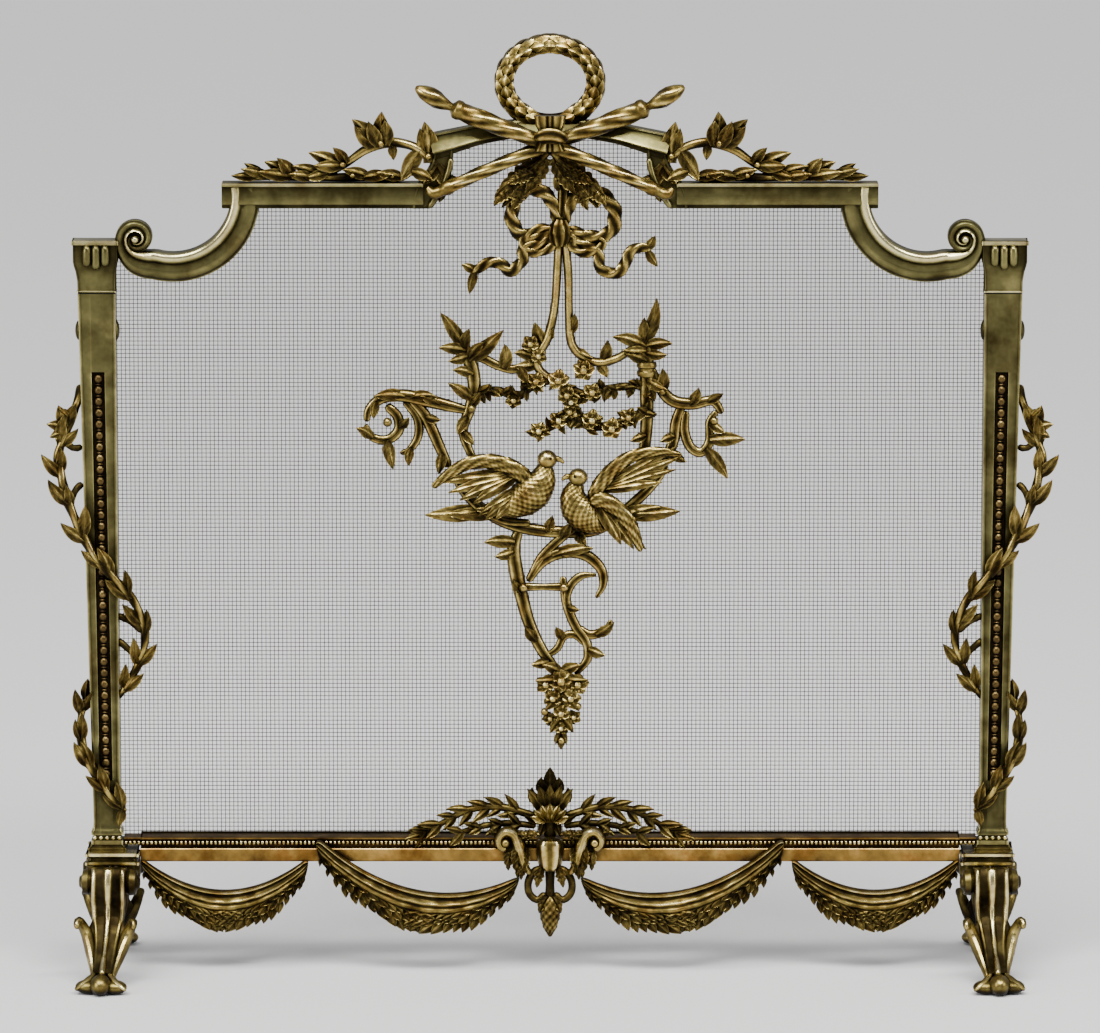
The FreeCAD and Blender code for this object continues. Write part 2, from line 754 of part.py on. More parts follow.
def makeTrophyScroll(side):
    if side < 0:
        upright = [(-57, -148), (-58, -190), (-55, -232)]
        outer = [(-56, -182), (-80, -186), (-104, -187), (-124, -199), (-129, -216), (-120, -234)]
        stem = [(-96, -187), (-98, -206), (-86, -226), (-71, -236)]
        rows = [(-57, -152, 115, 30, 13), (-57, -152, 60, 26, 12), (-57, -150, 90, 22, 9),
                (-57, -160, 150, 26, 12), (-122, -232, -60, 16, 8), (-126, -214, -150, 14, 8)]
    else:
        upright = [(69, -150), (70, -190), (65, -228)]
        outer = [(68, -184), (90, -188), (114, -191), (134, -203), (139, -220), (130, -236)]
        stem = [(106, -190), (108, -208), (98, -226), (86, -232)]
        rows = [(69, -153, 65, 32, 13), (69, -153, 118, 26, 12), (69, -150, 92, 22, 9),
                (69, -160, 30, 26, 12), (131, -234, -120, 16, 8), (136, -214, -30, 14, 8)]
    bars = [flatRod(hung(outer), 0, 3.5), flatRod(hung(stem), 0, 3)]
    return joined(flatRod(hung(upright), 0, 4), bars + hungLeaves(rows, 0))


def makeUpperGarland(carriers):
    rope = flatRod(hung([(-57, -178), (-21, -190), (6, -182), (34, -189), (69, -178)]), 0, 5)
    return seated(joined(rope, [ball(17, -5, archUnder - 173, 11)]), carriers)


def makeLowerGarland(carriers):
    rope = flatRod(hung([(-4, -225), (8, -213), (30, -213), (67, -198)]), 0, 4)
    return seated(rope, carriers)


# Bird turned about the line from its tail to its crown, with flat wings
def makeDove(tail, crown, wings, carriers):
    y = meshFront - doveRadius - fitGap
    start = vec(tail[0], y, archUnder + tail[1])
    axis = vec(crown[0], y, archUnder + crown[1]) - start
    across = axis.cross(vec(0, 1, 0)).normalize()
    outer = [(0, 0), (0.1, 0.4), (0.28, 0.9), (0.48, 1), (0.66, 0.65), (0.76, 0.52), (0.86, 0.62),
             (0.96, 0.42), (1, 0)]
    corners = [start + axis * share + across * (doveRadius * girth) for share, girth in outer]
    body = Part.Face(Part.makePolygon(corners + corners[:1])).revolve(start, axis, 360)
    return seated(joined(body, hungLeaves(wings, y)), carriers)


def makeCradle(carriers):
    route = hung([(-73, -236), (-58, -262), (-30, -281), (8, -289), (38, -285), (62, -268),
                  (84, -234)])
    rows = [(-60, -260, 160, 34, 12), (62, -268, 12, 32, 12)]
    return seated(joined(flatRod(route, 0, 3.5), hungLeaves(rows, 0)), carriers)


def makeTailScroll(carriers):
    main = flatRod(hung([(-20, -284), (-26, -320), (-20, -356), (-4, -380), (14, -386)]), 0, 3.5)
    hook = flatRod(hung([(-25, -324), (-12, -306), (8, -298), (30, -304), (41, -322), (36, -342)]),
                   0, 3)
    bar = flatRod(hung([(-25, -325), (9, -325)]), 0, 2.5)
    inner = flatRod(hung([(8, -299), (8, -326), (12, -350), (22, -370), (14, -386)]), 0, 3)
    return seated(joined(main, [hook, bar, inner] + hungLeaves([(-24, -310, 150, 20, 9)], 0)),
                  carriers)


def makeFlowerDrop(carriers):
    y = -4
    bloom = ball(8, y, archUnder - 396, 10)
    chain = []
    for x, z, radius in ((8, -409, 7.5), (8.5, -421, 6), (9, -431, 4.5), (9, -438, 3)):
        chain.append(ball(x, y, archUnder + z, radius))
    blades = hungLeaves([(8, -400, -150, 18, 8), (8, -400, -35, 18, 8)], y)
    return seated(joined(bloom, chain + blades), carriers)


post = makePost()
pair("post", post)
pair("post_bead_strip", makePostBeads())
pair("capital", makeCapital())
pair("plinth", makePlinth())
pair("scroll_rail", makeScrollRail())
pair("shoulder_rail", makeShoulder())
arch = makeArch()
parts["crest_arch"] = arch
parts["bottom_rail"] = makeBottomRail()
parts["rail_beading"] = makeRailBeading()
parts["mesh_panel"] = makeMeshPanel()
parts["mesh_strips_side"] = twins(makePostStrip())
parts["mesh_strip_bottom"] = makeRailStrip()
parts["mesh_strips_top"] = twins(makeShoulderStrip())
parts["mesh_screws"] = makeMeshScrews()
pair("front_foot", makeFoot(True))
pair("rear_foot", makeFoot(False))
parts["foot_screws"] = makeFootScrews()

# Crest and shoulders
parts["wreath"] = makeWreath(arch)
rearTorchY = frontFace - fitGap - torchRadius
frontTorchY = rearTorchY - torchLayer
torchFront = makeTorch(frontTorchY)
torchRear = seated(mirrored(makeTorch(rearTorchY)), [torchFront, parts["wreath"]])
parts["torch_left"] = seated(torchFront, [parts["wreath"]])
parts["torch_right"] = torchRear
parts["ribbon_knot"] = makeKnot(frontTorchY - torchRadius - fitGap)
pair("laurel_branch", makeLaurel())

# Posts and bottom rail
pair("vine_upper", makeUpperVine(post))
pair("vine_lower", makeLowerVine(post))
shell = makeShell()
parts["palmette_shell"] = shell
acanthus = makeAcanthus()
pair("acanthus", acanthus)
parts["pendant_drop"] = makePendant()
pair("rail_spray", makeRailSpray(shell))
outerHang = railFoot - fitGap
pair("swag_outer", makeSwag(174, plinthInner - 3, outerHang, outerHang, railFront + 1))
innerSwag = makeSwag(20.5, 170, railTop - 27, railTop + 3, railFront - fitGap - swagThick)
pair("swag_inner", seated(innerSwag, [acanthus]))

# Hanging trophy
bow = makeBow()
parts["bow"] = bow
torches = [parts["torch_left"], parts["torch_right"]]
spray = makeSpray(45, 58, [arch, bow] + torches)
parts["feather_spray_left"] = spray
parts["feather_spray_right"] = seated(mirrored(makeSpray(45, 58, [arch])), [bow, spray] + torches)
parts["ribbon_tail_left"] = makeTail([(2, -69), (-10, -85), (-24, -89), (-38, -97), (-57, -109)], bow)
parts["ribbon_tail_right"] = makeTail([(6, -69), (26, -84), (40, -97), (54, -94), (73, -76)], bow)
leftScroll = makeTrophyScroll(-1)
rightScroll = makeTrophyScroll(1)
parts["trophy_scroll_left"] = leftScroll
parts["trophy_scroll_right"] = rightScroll
garland = makeUpperGarland([leftScroll, rightScroll])
parts["upper_garland"] = garland
tails = [parts["ribbon_tail_left"], parts["ribbon_tail_right"]]
strapLeft = makeStrap([(2, -70), (-4, -120), (-2, -184)], [bow, garland] + tails)
strapRight = makeStrap([(6, -70), (14, -120), (15, -172)], [bow, garland, strapLeft] + tails)
parts["trophy_straps"] = Part.makeCompound([strapLeft, strapRight])
doveLeft = makeDove((-33, -269), (3, -225),
                    [(-16, -246, 172, 66, 20), (-20, -242, 152, 46, 16)], [leftScroll, garland])
parts["dove_left"] = doveLeft
doveRight = makeDove((37, -290), (14, -237),
                     [(26, -262, 32, 60, 20), (28, -268, -40, 46, 18)],
                     [rightScroll, garland, doveLeft])
parts["dove_right"] = doveRight
parts["lower_garland"] = makeLowerGarland([rightScroll, garland, doveLeft, doveRight])
birds = [doveLeft, doveRight]
cradle = makeCradle([leftScroll, rightScroll] + birds)
parts["cradle_scroll"] = cradle
tailScroll = makeTailScroll([cradle] + birds)
parts["tail_scroll"] = tailScroll
parts["flower_drop"] = makeFlowerDrop([tailScroll])

os.makedirs("parts", exist_ok=True)
for name, shape in parts.items():
    shape.exportStep("parts/" + name + ".step")
    extent = shape.BoundBox
    print(name, len(shape.Solids), "valid" if shape.isValid() else "INVALID",
          round(extent.XLength, 1), round(extent.YLength, 1), round(extent.ZLength, 1))
print(len(parts), "nodes")
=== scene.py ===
import bpy
import math
import numpy as np
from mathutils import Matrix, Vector


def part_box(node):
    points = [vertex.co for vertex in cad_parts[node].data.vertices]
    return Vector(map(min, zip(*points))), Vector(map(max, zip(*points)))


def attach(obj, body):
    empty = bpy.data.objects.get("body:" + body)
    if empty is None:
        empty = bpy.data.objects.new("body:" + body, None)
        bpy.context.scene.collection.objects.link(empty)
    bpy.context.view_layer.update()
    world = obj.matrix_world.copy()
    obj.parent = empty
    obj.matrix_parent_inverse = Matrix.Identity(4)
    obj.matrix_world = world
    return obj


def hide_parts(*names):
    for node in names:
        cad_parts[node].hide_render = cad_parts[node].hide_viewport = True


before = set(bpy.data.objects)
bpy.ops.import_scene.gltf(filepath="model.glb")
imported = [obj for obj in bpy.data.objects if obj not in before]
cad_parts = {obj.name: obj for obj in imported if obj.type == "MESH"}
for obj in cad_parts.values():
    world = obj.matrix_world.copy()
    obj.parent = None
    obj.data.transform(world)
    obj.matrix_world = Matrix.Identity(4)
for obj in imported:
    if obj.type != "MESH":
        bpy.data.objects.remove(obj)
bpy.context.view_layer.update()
print("frame loaded")

# Lengths are in millimetres until a mesh is written, x to the right, y to the back, z up
mm = 0.001


# Lowest and highest corner of a CAD node, in millimetres
def boxOf(node):
    low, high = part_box(node)
    return np.array(low) / mm, np.array(high) / mm


# Levels and places read from the frame
postLow, postHigh = boxOf("post_right")
capHigh = boxOf("capital_right")[1]
plinthLow, plinthHigh = boxOf("plinth_right")
shoulderLow, shoulderHigh = boxOf("shoulder_rail_right")
railLow, railHigh = boxOf("bottom_rail")
meshLow, meshHigh = boxOf("mesh_panel")
footLow, footHigh = boxOf("front_foot_right")
spigot = 7.0                       # post and capital reach this far into the piece below
innerHalf = postLow[0] + 2.0       # the post's foot is 2 wider each side
neckTop = postLow[2] + spigot
seamLevel = postHigh[2]
postHead = capHigh[0] - 4.0        # outer edge of the post's head
capTop = capHigh[2]
capFoot = capTop - 16.5
shoulderFoot = shoulderLow[2]
shoulderTop = shoulderFoot + 18.5
shoulderEnd = shoulderHigh[0]
archTop = boxOf("crest_arch")[1][2]
archUnder = archTop - 12.0
railTop, railFoot = railHigh[2], railLow[2]
postFoot = 19.0                    # width of the post's shaft where it leaves the plinth
frontFace, rearFace = -7.0, 7.0


# Points (x, z) or rows (x, y, z, more) given from a base, moved to where the base is
def based(rows, x=0.0, y=0.0, z=0.0):
    return [(x + row[0], z + row[1]) if len(row) == 2 else
            (x + row[0], y + row[1], z + row[2], *row[3:]) for row in rows]


# Catmull-Rom through the points: p(t) = 1/2 (1 t t2 t3) M (p0 p1 p2 p3)
def smooth(points, count):
    p = np.asarray(points, float)
    p = np.vstack([2 * p[0] - p[1], p, 2 * p[-1] - p[-2]])
    t = np.linspace(0, len(p) - 3, count)
    i = np.minimum(t.astype(int), len(p) - 4)
    f = (t - i)[:, None]
    a, b, c, d = p[i], p[i + 1], p[i + 2], p[i + 3]
    return b + 0.5 * f * (c - a + f * (2 * a - 5 * b + 4 * c - d + f * (3 * b - 3 * c + d - a)))


# Points of a smooth path at even steps, closer at its ends, and the distance run to each
def stepped(points, step, y=0.0):
    p = np.asarray(points, float)
    if p.shape[1] == 2:
        p = np.stack([p[:, 0], np.full(len(p), y), p[:, 1]], 1)
    dense = smooth(p, 24 * len(p))
    run = np.r_[0, np.cumsum(np.linalg.norm(np.diff(dense, axis=0), axis=1))]
    count = max(int(run[-1] / step), 3)
    ends = np.array([0.05, 0.2, 0.5]) * step
    s = np.sort(np.r_[np.linspace(0, run[-1], count), ends, run[-1] - ends])
    return np.stack([np.interp(s, run, dense[:, k]) for k in range(3)], 1), s


# point = path + side * width * x + face * depth * y, with side to the right of the way along
def carry(path, section, width=1.0, depth=1.0, facing=(0, -1, 0)):
    tangent = np.gradient(path, axis=-2)
    tangent /= np.linalg.norm(tangent, axis=-1, keepdims=True) + 1e-12
    side = np.cross(tangent, facing)
    side /= np.linalg.norm(side, axis=-1, keepdims=True) + 1e-12
    face = np.cross(side, tangent)
    x = np.asarray(width, float)[..., None, None] * section[..., 0:1]
    y = np.asarray(depth, float)[..., None, None] * section[..., 1:2]
    return path[..., None, :] + side[..., None, :] * x + face[..., None, :] * y


# Closed shells from grid[copy, ring, point round it]: quads between rings, a cap at each end
def shell(grid, wear=0.5, loop=False):
    grid = np.array(grid, float)
    wear = np.array(np.broadcast_to(wear, grid.shape[:-1]), float)
    if grid.ndim == 3:
        grid, wear = grid[None], wear[None]
    first = grid[:, :1].mean(2, keepdims=True) + 0 * grid[:, :1]
    last = grid[:, -1:].mean(2, keepdims=True) + 0 * grid[:, :1]
    full = np.concatenate([grid, grid[:, :1]] if loop else [first, grid, last], 1)
    full = full - full.mean((1, 2), keepdims=True)
    a, b = full[:, :-1], full[:, 1:]
    a2, b2 = np.roll(a, -1, 2), np.roll(b, -1, 2)
    volume = (a * (np.cross(a2, b2) + np.cross(b2, b))).sum((1, 2, 3))
    inward = volume < 0
    grid[inward] = grid[inward, :, ::-1]
    wear[inward] = wear[inward, :, ::-1]
    copies, rings, around = grid.shape[:3]
    index = np.arange(copies * rings * around).reshape(copies, rings, around)
    here = index if loop else index[:, :-1]
    there = np.roll(index, -1, 1) if loop else index[:, 1:]
    quads = np.stack([here, np.roll(here, -1, 2), np.roll(there, -1, 2), there], -1)
    caps = np.concatenate([index[:, 0, ::-1], index[:, -1]])
    faces = [quads.reshape(-1, 4)] + ([] if loop else [caps])
    return {"points": grid.reshape(-1, 3), "faces": faces, "wear": wear.ravel()}


# Mirror image left to right, or by other signs; each face runs the other way round
def mirrored(shells, signs=(-1, 1, 1)):
    return [{"points": s["points"] * signs, "wear": s["wear"],
             "faces": [f[:, ::-1] for f in s["faces"]]} for s in shells]


# One mesh from many shells, its wear kept as an attribute of the points
def meshOf(name, shells, sharpAngle):
    starts = np.cumsum([0] + [len(s["points"]) for s in shells])
    groups = [f + start for s, start in zip(shells, starts) for f in s["faces"] if len(f)]
    corners = np.concatenate([g.ravel() for g in groups])
    sizes = np.concatenate([np.full(len(g), g.shape[1]) for g in groups])
    points = np.concatenate([s["points"] for s in shells]) * mm
    mesh = bpy.data.meshes.new(name)
    mesh.vertices.add(len(points))
    mesh.vertices.foreach_set("co", points.astype(np.float32).ravel())
    mesh.loops.add(len(corners))
    mesh.loops.foreach_set("vertex_index", corners.astype(np.int32))
    mesh.polygons.add(len(sizes))
    mesh.polygons.foreach_set("loop_start", np.r_[0, np.cumsum(sizes)[:-1]].astype(np.int32))
    wear = mesh.attributes.new("wear", "FLOAT", "POINT")
    wear.data.foreach_set("value", np.concatenate([s["wear"] for s in shells]).astype(np.float32))
    mesh.update(calc_edges=True)
    mesh.validate()
    mesh.polygons.foreach_set("use_smooth", np.ones(len(mesh.polygons), bool))
    mesh.set_sharp_from_angle(angle=math.radians(sharpAngle))
    return mesh


# Name, shells, (material, slot) and the CAD nodes that the piece stands for; the slot is not used
def addPiece(name, shells, finish, nodes, sharpAngle=38):
    material, slot = finish
    piece = bpy.data.objects.new(name, meshOf(name, shells, sharpAngle))
    bpy.context.scene.collection.objects.link(piece)
    piece.data.materials.append(material)
    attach(piece, "root")
    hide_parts(*nodes)


# A casting takes the name of its CAD node with "cast" before the side
def addCast(node, shells, sharpAngle=38, finish=None):
    side = node[-5:] if node.endswith("_left") else node[-6:] if node.endswith("_right") else ""
    name = node[:len(node) - len(side)] + "_cast" + side
    addPiece(name, shells, finish or ornament, [node], sharpAngle)


# Right piece as it is made, left piece as its mirror image
def addPair(name, rightShells, finish=None, sharpAngle=38):
    addCast(name + "_right", rightShells, sharpAngle, finish)
    addCast(name + "_left", mirrored(rightShells), sharpAngle, finish)


# Bar along a path: r(a, s) = R(s) (1 + ridge cos(strands a - lay s)), with rounded ends; a groove
# down its front leaves two rubbed lips
def bar(points, radii, y=0.0, flat=1.0, strands=0, lay=0.0, ridge=0.0, around=14, step=2.5,
        tone=0.4, keel=0.0, groove=0.0):
    path, s = stepped(points, step, y)
    radii = np.atleast_1d(np.asarray(radii, float))
    r = np.interp(s / s[-1], np.linspace(0, 1, len(radii)), radii)
    reach = np.minimum(s, s[-1] - s) / np.maximum(r, 0.1)
    r = r * np.sqrt(np.clip(1 - (1 - np.minimum(reach, 1)) ** 2, 0.01, 1))
    around = 20 if groove else around
    a = np.linspace(0, 2 * math.pi, around, endpoint=False)[None]
    wave = np.cos(strands * a - lay * s[:, None]) if strands else 0 * a
    grow = 1 + ridge * wave
    front = np.clip(np.sin(a), 0, 1)
    dent = groove * np.exp(-(np.cos(a) / 0.28) ** 2) * (front > 0)
    section = np.stack([np.cos(a) * grow, np.sin(a) * grow * flat + keel * front ** 6 - dent], -1)
    lips = np.exp(-((np.abs(np.cos(a)) - 0.58) / 0.2) ** 2) * (front > 0) * (groove > 0)
    wear = tone + 0.3 * wave * (ridge > 0) + 0.3 * front ** 3 * (keel > 0) - 0.7 * dent
    wear = wear + 0.3 * lips + 0.1 * front - 0.12
    return shell(carry(path, section, r, r), wear)


# Leaves: width w(u) = W/2 sin(pi u^0.72)^0.75; rim and midrib stand up, the blade between is
# hollow, the tip lifts by u^2. Each row is x, y, z, heading in degrees, length, width, lift, curl
def leaves(rows, lobes=0, thick=2.2, rings=11, vein=0.0, cup=0.0, tone=0.42):
    x, y, z, heading, length, width, lift, curl = np.array(rows, float).T[..., None]
    u = np.linspace(0, 1, rings)[None]
    turn = np.radians(heading + curl * u)
    run = np.stack([np.cumsum(np.cos(turn), 1), np.cumsum(np.sin(turn), 1)], -1)
    run = (run - run[:, :1]) * (length / (rings - 1))[..., None]
    path = np.stack([x + run[..., 0], y - lift * u ** 2, z + run[..., 1]], -1)
    s = np.array([-1, -0.82, -0.5, -0.2, 0, 0.2, 0.5, 0.82, 1, 0.6, 0, -0.6])
    front = np.arange(12) < 9
    shape = np.sin(math.pi * np.clip(u, 0.1, 0.985) ** 0.72) ** 0.75
    if lobes:
        shape = shape * (1 - 0.38 * np.cos(math.pi * lobes * u) ** 8 * (u > 0.12) * (u < 0.93))
    crown = 0.45 * (1 - s ** 2) + 0.55 * np.exp(-(s / 0.17) ** 2) + 0.35 * np.abs(s) ** 6
    ripple = vein * np.cos(2 * math.pi * (max(lobes, 4) * u[..., None] - 1.3 * np.abs(s)))
    rise = np.where(front, crown + cup * s ** 2, -0.6 * (1 - s ** 2) + cup * s ** 2)
    rise = rise[None, None] + ripple * front * (1 - np.abs(s)) * np.abs(s) * 2
    rise = rise * (0.45 + 0.55 * shape[..., None])
    section = np.stack([np.broadcast_to(s, rise.shape), rise], -1)
    half = width / 2 * shape
    wear = tone - 0.26 + 0.3 * u[..., None] + 0.34 * np.exp(-(s / 0.2) ** 2) + 0.34 * s ** 6
    wear = wear * np.where(front, 1, 0.5) + 0.15 * ripple * front
    grid = carry(path, section, half, thick + 0 * half)
    return shell(grid, np.broadcast_to(wear, grid.shape[:-1]))


# Leaves growing from a stem, each row being share of the way along, heading, length, width,
# lift and curl; headings are absolute, or counted from the stem's own way
def sprouts(points, rows, y=0.0, fromStem=False, **style):
    path, s = stepped(points, 1.0, y)
    u, heading, length, width, lift, curl = np.array(rows, float).T
    at = u * s[-1]
    x, depth, z = (np.interp(at, s, path[:, k]) for k in range(3))
    if fromStem:
        way = np.gradient(path, axis=0)
        heading = heading + np.degrees(np.arctan2(np.interp(at, s, way[:, 2]),
                                                  np.interp(at, s, way[:, 0])))
    return leaves(np.stack([x, depth - 1.2, z, heading, length, width, lift, curl], 1), **style)


# Rows for pairs of leaves up a stem, a little uneven, by a seeded draw
def pairs(count, start, stop, angle, length, width, seed, lift=3.0):
    draw = np.random.default_rng(seed)
    n = 2 * count
    u = np.clip(np.repeat(np.linspace(start, stop, count), 2) + draw.uniform(-0.02, 0.02, n), 0, 1)
    side = np.tile([1, -1], count)
    size = draw.uniform(0.85, 1.15, n)
    return np.stack([u, side * (angle + draw.uniform(-12, 12, n)), length * size, width * size,
                     lift * draw.uniform(0.5, 1.3, n), side * draw.uniform(5, 25, n)], 1)


# Balls and buds: point = centre + radii * (sin t cos a, sin t sin a, cos t)
def balls(rows, rings=7, around=9, tone=0.7):
    rows = np.array(rows, float)
    radii = rows[:, None, None, 3:6] if rows.shape[1] > 4 else rows[:, None, None, 3:4]
    t = np.linspace(0.12, math.pi - 0.12, rings)[:, None]
    a = np.linspace(0, 2 * math.pi, around, endpoint=False)[None]
    unit = np.stack([np.sin(t) * np.cos(a), np.sin(t) * np.sin(a), np.cos(t) + 0 * a], -1)
    return shell(rows[:, None, None, :3] + radii * unit[None], tone)


# Rosettes: five petals round a bead, each row is x, y, z, radius
def rosettes(rows, petals=5, tone=0.5):
    table = [[x, y, z, k * 360 / petals + 90 + 17 * r, r, r * 1.05, -0.25 * r, 0]
             for x, y, z, r in rows for k in range(petals)]
    beads = [[x, y - 0.3 * r, z, 0.36 * r] for x, y, z, r in rows]
    return [leaves(table, thick=1.8, rings=7, cup=0.5, tone=tone), balls(beads, 5, 8)]


# Turned form: radius R(s) along a path, with flutes r = R (1 + flute cos(count a - lay s)), or
# scales where the wave is cos(count a) cos(lay s)
def turned(points, radii, y=0.0, flute=0.0, count=0, lay=0.0, around=20, step=1.6, tone=0.45,
           squash=1.0, scaled=False):
    path, s = stepped(points, step, y)
    radii = np.asarray(radii, float)
    r = np.interp(s / s[-1], radii[:, 0], radii[:, 1])
    depth = np.interp(s / s[-1], radii[:, 0], radii[:, 2]) if radii.shape[1] > 2 else 1.0
    a = np.linspace(0, 2 * math.pi, around, endpoint=False)[None]
    wave = np.cos(count * a - lay * s[:, None])
    if scaled:
        wave = np.cos(count * a) * np.cos(lay * s[:, None])
    wave = wave * np.broadcast_to(depth, s.shape)[:, None]
    grow = 1 + flute * wave
    section = np.stack([np.cos(a) * grow, np.sin(a) * grow * squash], -1)
    return shell(carry(path, section, r, r), tone + 0.25 * wave * (flute > 0) + 0 * a)


# Moulding: a front profile of (across, proud) pairs over a flat back, carried along a path
def moulding(path, profile, half, wearRow):
    p = np.array(profile, float)
    ring = np.vstack([p, [[p[-1, 0], -rearFace], [p[0, 0], -rearFace]]])
    wear = np.r_[wearRow, 0.3, 0.3]
    return shell(carry(path, ring, half), wear[None] + 0 * np.asarray(path)[:, :1])


# Block of stacked outlines: each row is z, half width, front y, back y, about a middle x, with
# corners rounded by inset(t) = corner (1 - sin t)
def stacked(middle, rows, corner=1.2, tones=None):
    rows = np.array(rows, float)
    inset = corner * (1 - np.sin(np.linspace(0, math.pi / 2, 4)))
    z, half, front, back = rows.T[..., None]
    x = np.concatenate([-half + inset, half - inset[::-1], half - inset, -half + inset[::-1]], 1)
    y = np.concatenate([front + inset[::-1], front + inset, back - inset[::-1], back - inset], 1)
    grid = np.stack([middle + x, y, z + 0 * x], -1)
    tones = np.full(len(rows), 0.5) if tones is None else np.array(tones, float)
    return shell(grid, tones[:, None] + 0 * x)


print("helpers ready")


# sRGB to linear: c / 12.92 near black, else ((c + 0.055) / 1.055)^2.4
def linear(hexColour):
    c = np.array([int(hexColour[i:i + 2], 16) / 255 for i in (1, 3, 5)])
    return (*np.where(c <= 0.04045, c / 12.92, ((c + 0.055) / 1.055) ** 2.4), 1.0)


# A node with its settings, the values of its inputs and the links into it
def addNode(tree, kind, settings=None, inputs=None, links=None):
    node = tree.nodes.new(kind)
    for key, value in (settings or {}).items():
        setattr(node, key, value)
    for key, value in (inputs or {}).items():
        node.inputs[key].default_value = value
    for key, source in (links or {}).items():
        tree.links.new(source, node.inputs[key])
    return node


# Cast brass: a ramp from dirt and painted shade in the hollows to bare metal on the high points,
# driven by the "wear" attribute, the open sky a point sees (painted shade: hollows and gaps between
# pieces made darker), how far it faces up (painted highlight: upper sides made lighter, as if lit
# from above) and a cloudy noise; fine pits from the sand mould, and brown stains where damp
# soaked in, laid over the ramp's colour
def castBrass(name, stops, roughWorn, roughDirty, grainMm, cloudMm, pit, paintedTopHighlight=0.16,
              stain=0.0, stainColour="#7d5c36"):
    material = bpy.data.materials.new(name)
    material.use_nodes = True
    tree = material.node_tree
    shader = tree.nodes["Principled BSDF"]
    place = addNode(tree, "ShaderNodeTexCoord").outputs["Object"]
    wear = addNode(tree, "ShaderNodeAttribute", {"attribute_name": "wear"}).outputs["Fac"]
    # Painted shade: wear is multiplied by the ambient occlusion, so hollows, creases and gaps between
    # pieces darken as shade would darken them, besides the patina the wear attribute gives the hollows
    openSky = addNode(tree, "ShaderNodeAmbientOcclusion", {"samples": 4}, {"Distance": 0.007})
    cloud = addNode(tree, "ShaderNodeTexNoise", None,
                    {"Scale": 1000 / cloudMm, "Detail": 3.0, "Roughness": 0.6}, {"Vector": place})
    grain = addNode(tree, "ShaderNodeTexNoise", None,
                    {"Scale": 1000 / grainMm, "Detail": 2.0}, {"Vector": place})
    sky = addNode(tree, "ShaderNodeMath", {"operation": "POWER"}, {1: 1.3},
                  {0: openSky.outputs["AO"]})
    shown = addNode(tree, "ShaderNodeMath", {"operation": "MULTIPLY"}, None,
                    {0: wear, 1: sky.outputs[0]})
    mottled = addNode(tree, "ShaderNodeMath", {"operation": "MULTIPLY_ADD"}, {1: 0.7, 2: -0.33},
                      {0: cloud.outputs["Fac"]})
    both = addNode(tree, "ShaderNodeMath", {"operation": "ADD"}, None,
                   {0: shown.outputs[0], 1: mottled.outputs[0]})
    # Painted highlight: surfaces that face up are made lighter by their normal's z, as if lit from
    # above
    facing = addNode(tree, "ShaderNodeSeparateXYZ", None, None,
                     {0: addNode(tree, "ShaderNodeNewGeometry").outputs["Normal"]})
    total = addNode(tree, "ShaderNodeMath", {"operation": "MULTIPLY_ADD", "use_clamp": True},
                    {1: paintedTopHighlight}, {0: facing.outputs["Z"], 2: both.outputs[0]})
    ramp = addNode(tree, "ShaderNodeValToRGB", None, None, {"Fac": total.outputs[0]})
    elements = ramp.color_ramp.elements
    while len(elements) < len(stops):
        elements.new(0.5)
    for element, (position, colour) in zip(elements, stops):
        element.position = position
        element.color = linear(colour)
    rough = addNode(tree, "ShaderNodeMapRange", None,
                    {"From Min": 0.2, "From Max": 0.8, "To Min": roughDirty, "To Max": roughWorn},
                    {"Value": total.outputs[0]})
    uneven = addNode(tree, "ShaderNodeMath", {"operation": "MULTIPLY_ADD"}, {1: 2.5},
                     {0: cloud.outputs["Fac"], 2: grain.outputs["Fac"]})
    bump = addNode(tree, "ShaderNodeBump", None, {"Strength": pit, "Distance": 0.0004},
                   {"Height": uneven.outputs[0]})
    blotch = addNode(tree, "ShaderNodeTexNoise", None,
                     {"Scale": 800 / cloudMm, "Detail": 4.0, "Roughness": 0.65}, {"Vector": place})
    soaked = addNode(tree, "ShaderNodeMapRange", None,
                     {"From Min": 0.47, "From Max": 0.64, "To Min": 0.0, "To Max": stain},
                     {"Value": blotch.outputs["Fac"]})
    stained = addNode(tree, "ShaderNodeMix", {"data_type": "RGBA", "blend_type": "MULTIPLY"},
                      {7: linear(stainColour)},
                      {0: soaked.outputs["Result"], 6: ramp.outputs["Color"]})
    tree.links.new(stained.outputs[2], shader.inputs["Base Color"])
    tree.links.new(rough.outputs["Result"], shader.inputs["Roughness"])
    tree.links.new(bump.outputs["Normal"], shader.inputs["Normal"])
    shader.inputs["Metallic"].default_value = 1.0
    return material


# Gilt cast brass of the ornament: near-black hollows, olive-brown body, pale rubbed edges
ornamentBrass = castBrass("giltCastBrassRubbed",
                          [(0.0, "#120e08"), (0.25, "#2c2411"), (0.48, "#6d5d2e"),
                           (0.72, "#b9a35e"), (0.95, "#f2e9b8")],
                          0.2, 0.5, 1.2, 11, 0.2, stain=0.5, stainColour="#a9773f")
# Patinated cast brass of the frame: green-grey film over brass, satin
frameBrass = castBrass("patinatedCastBrassSatin",
                       [(0.0, "#15120a"), (0.25, "#38331b"), (0.48, "#67623c"),
                        (0.7, "#99905b"), (1.0, "#e4d9a2")],
                       0.22, 0.44, 1.6, 24, 0.12, stain=0.5, stainColour="#8d6a44")
# Cast brass of the feet: as the frame, nearly black in the grooves
footBrass = castBrass("patinatedCastBrassFeet",
                      [(0.0, "#100d08"), (0.25, "#352c17"), (0.48, "#736637"),
                       (0.7, "#ab9857"), (1.0, "#ecdfa6")],
                      0.24, 0.48, 1.4, 16, 0.2, stain=0.6, stainColour="#8d6a44")
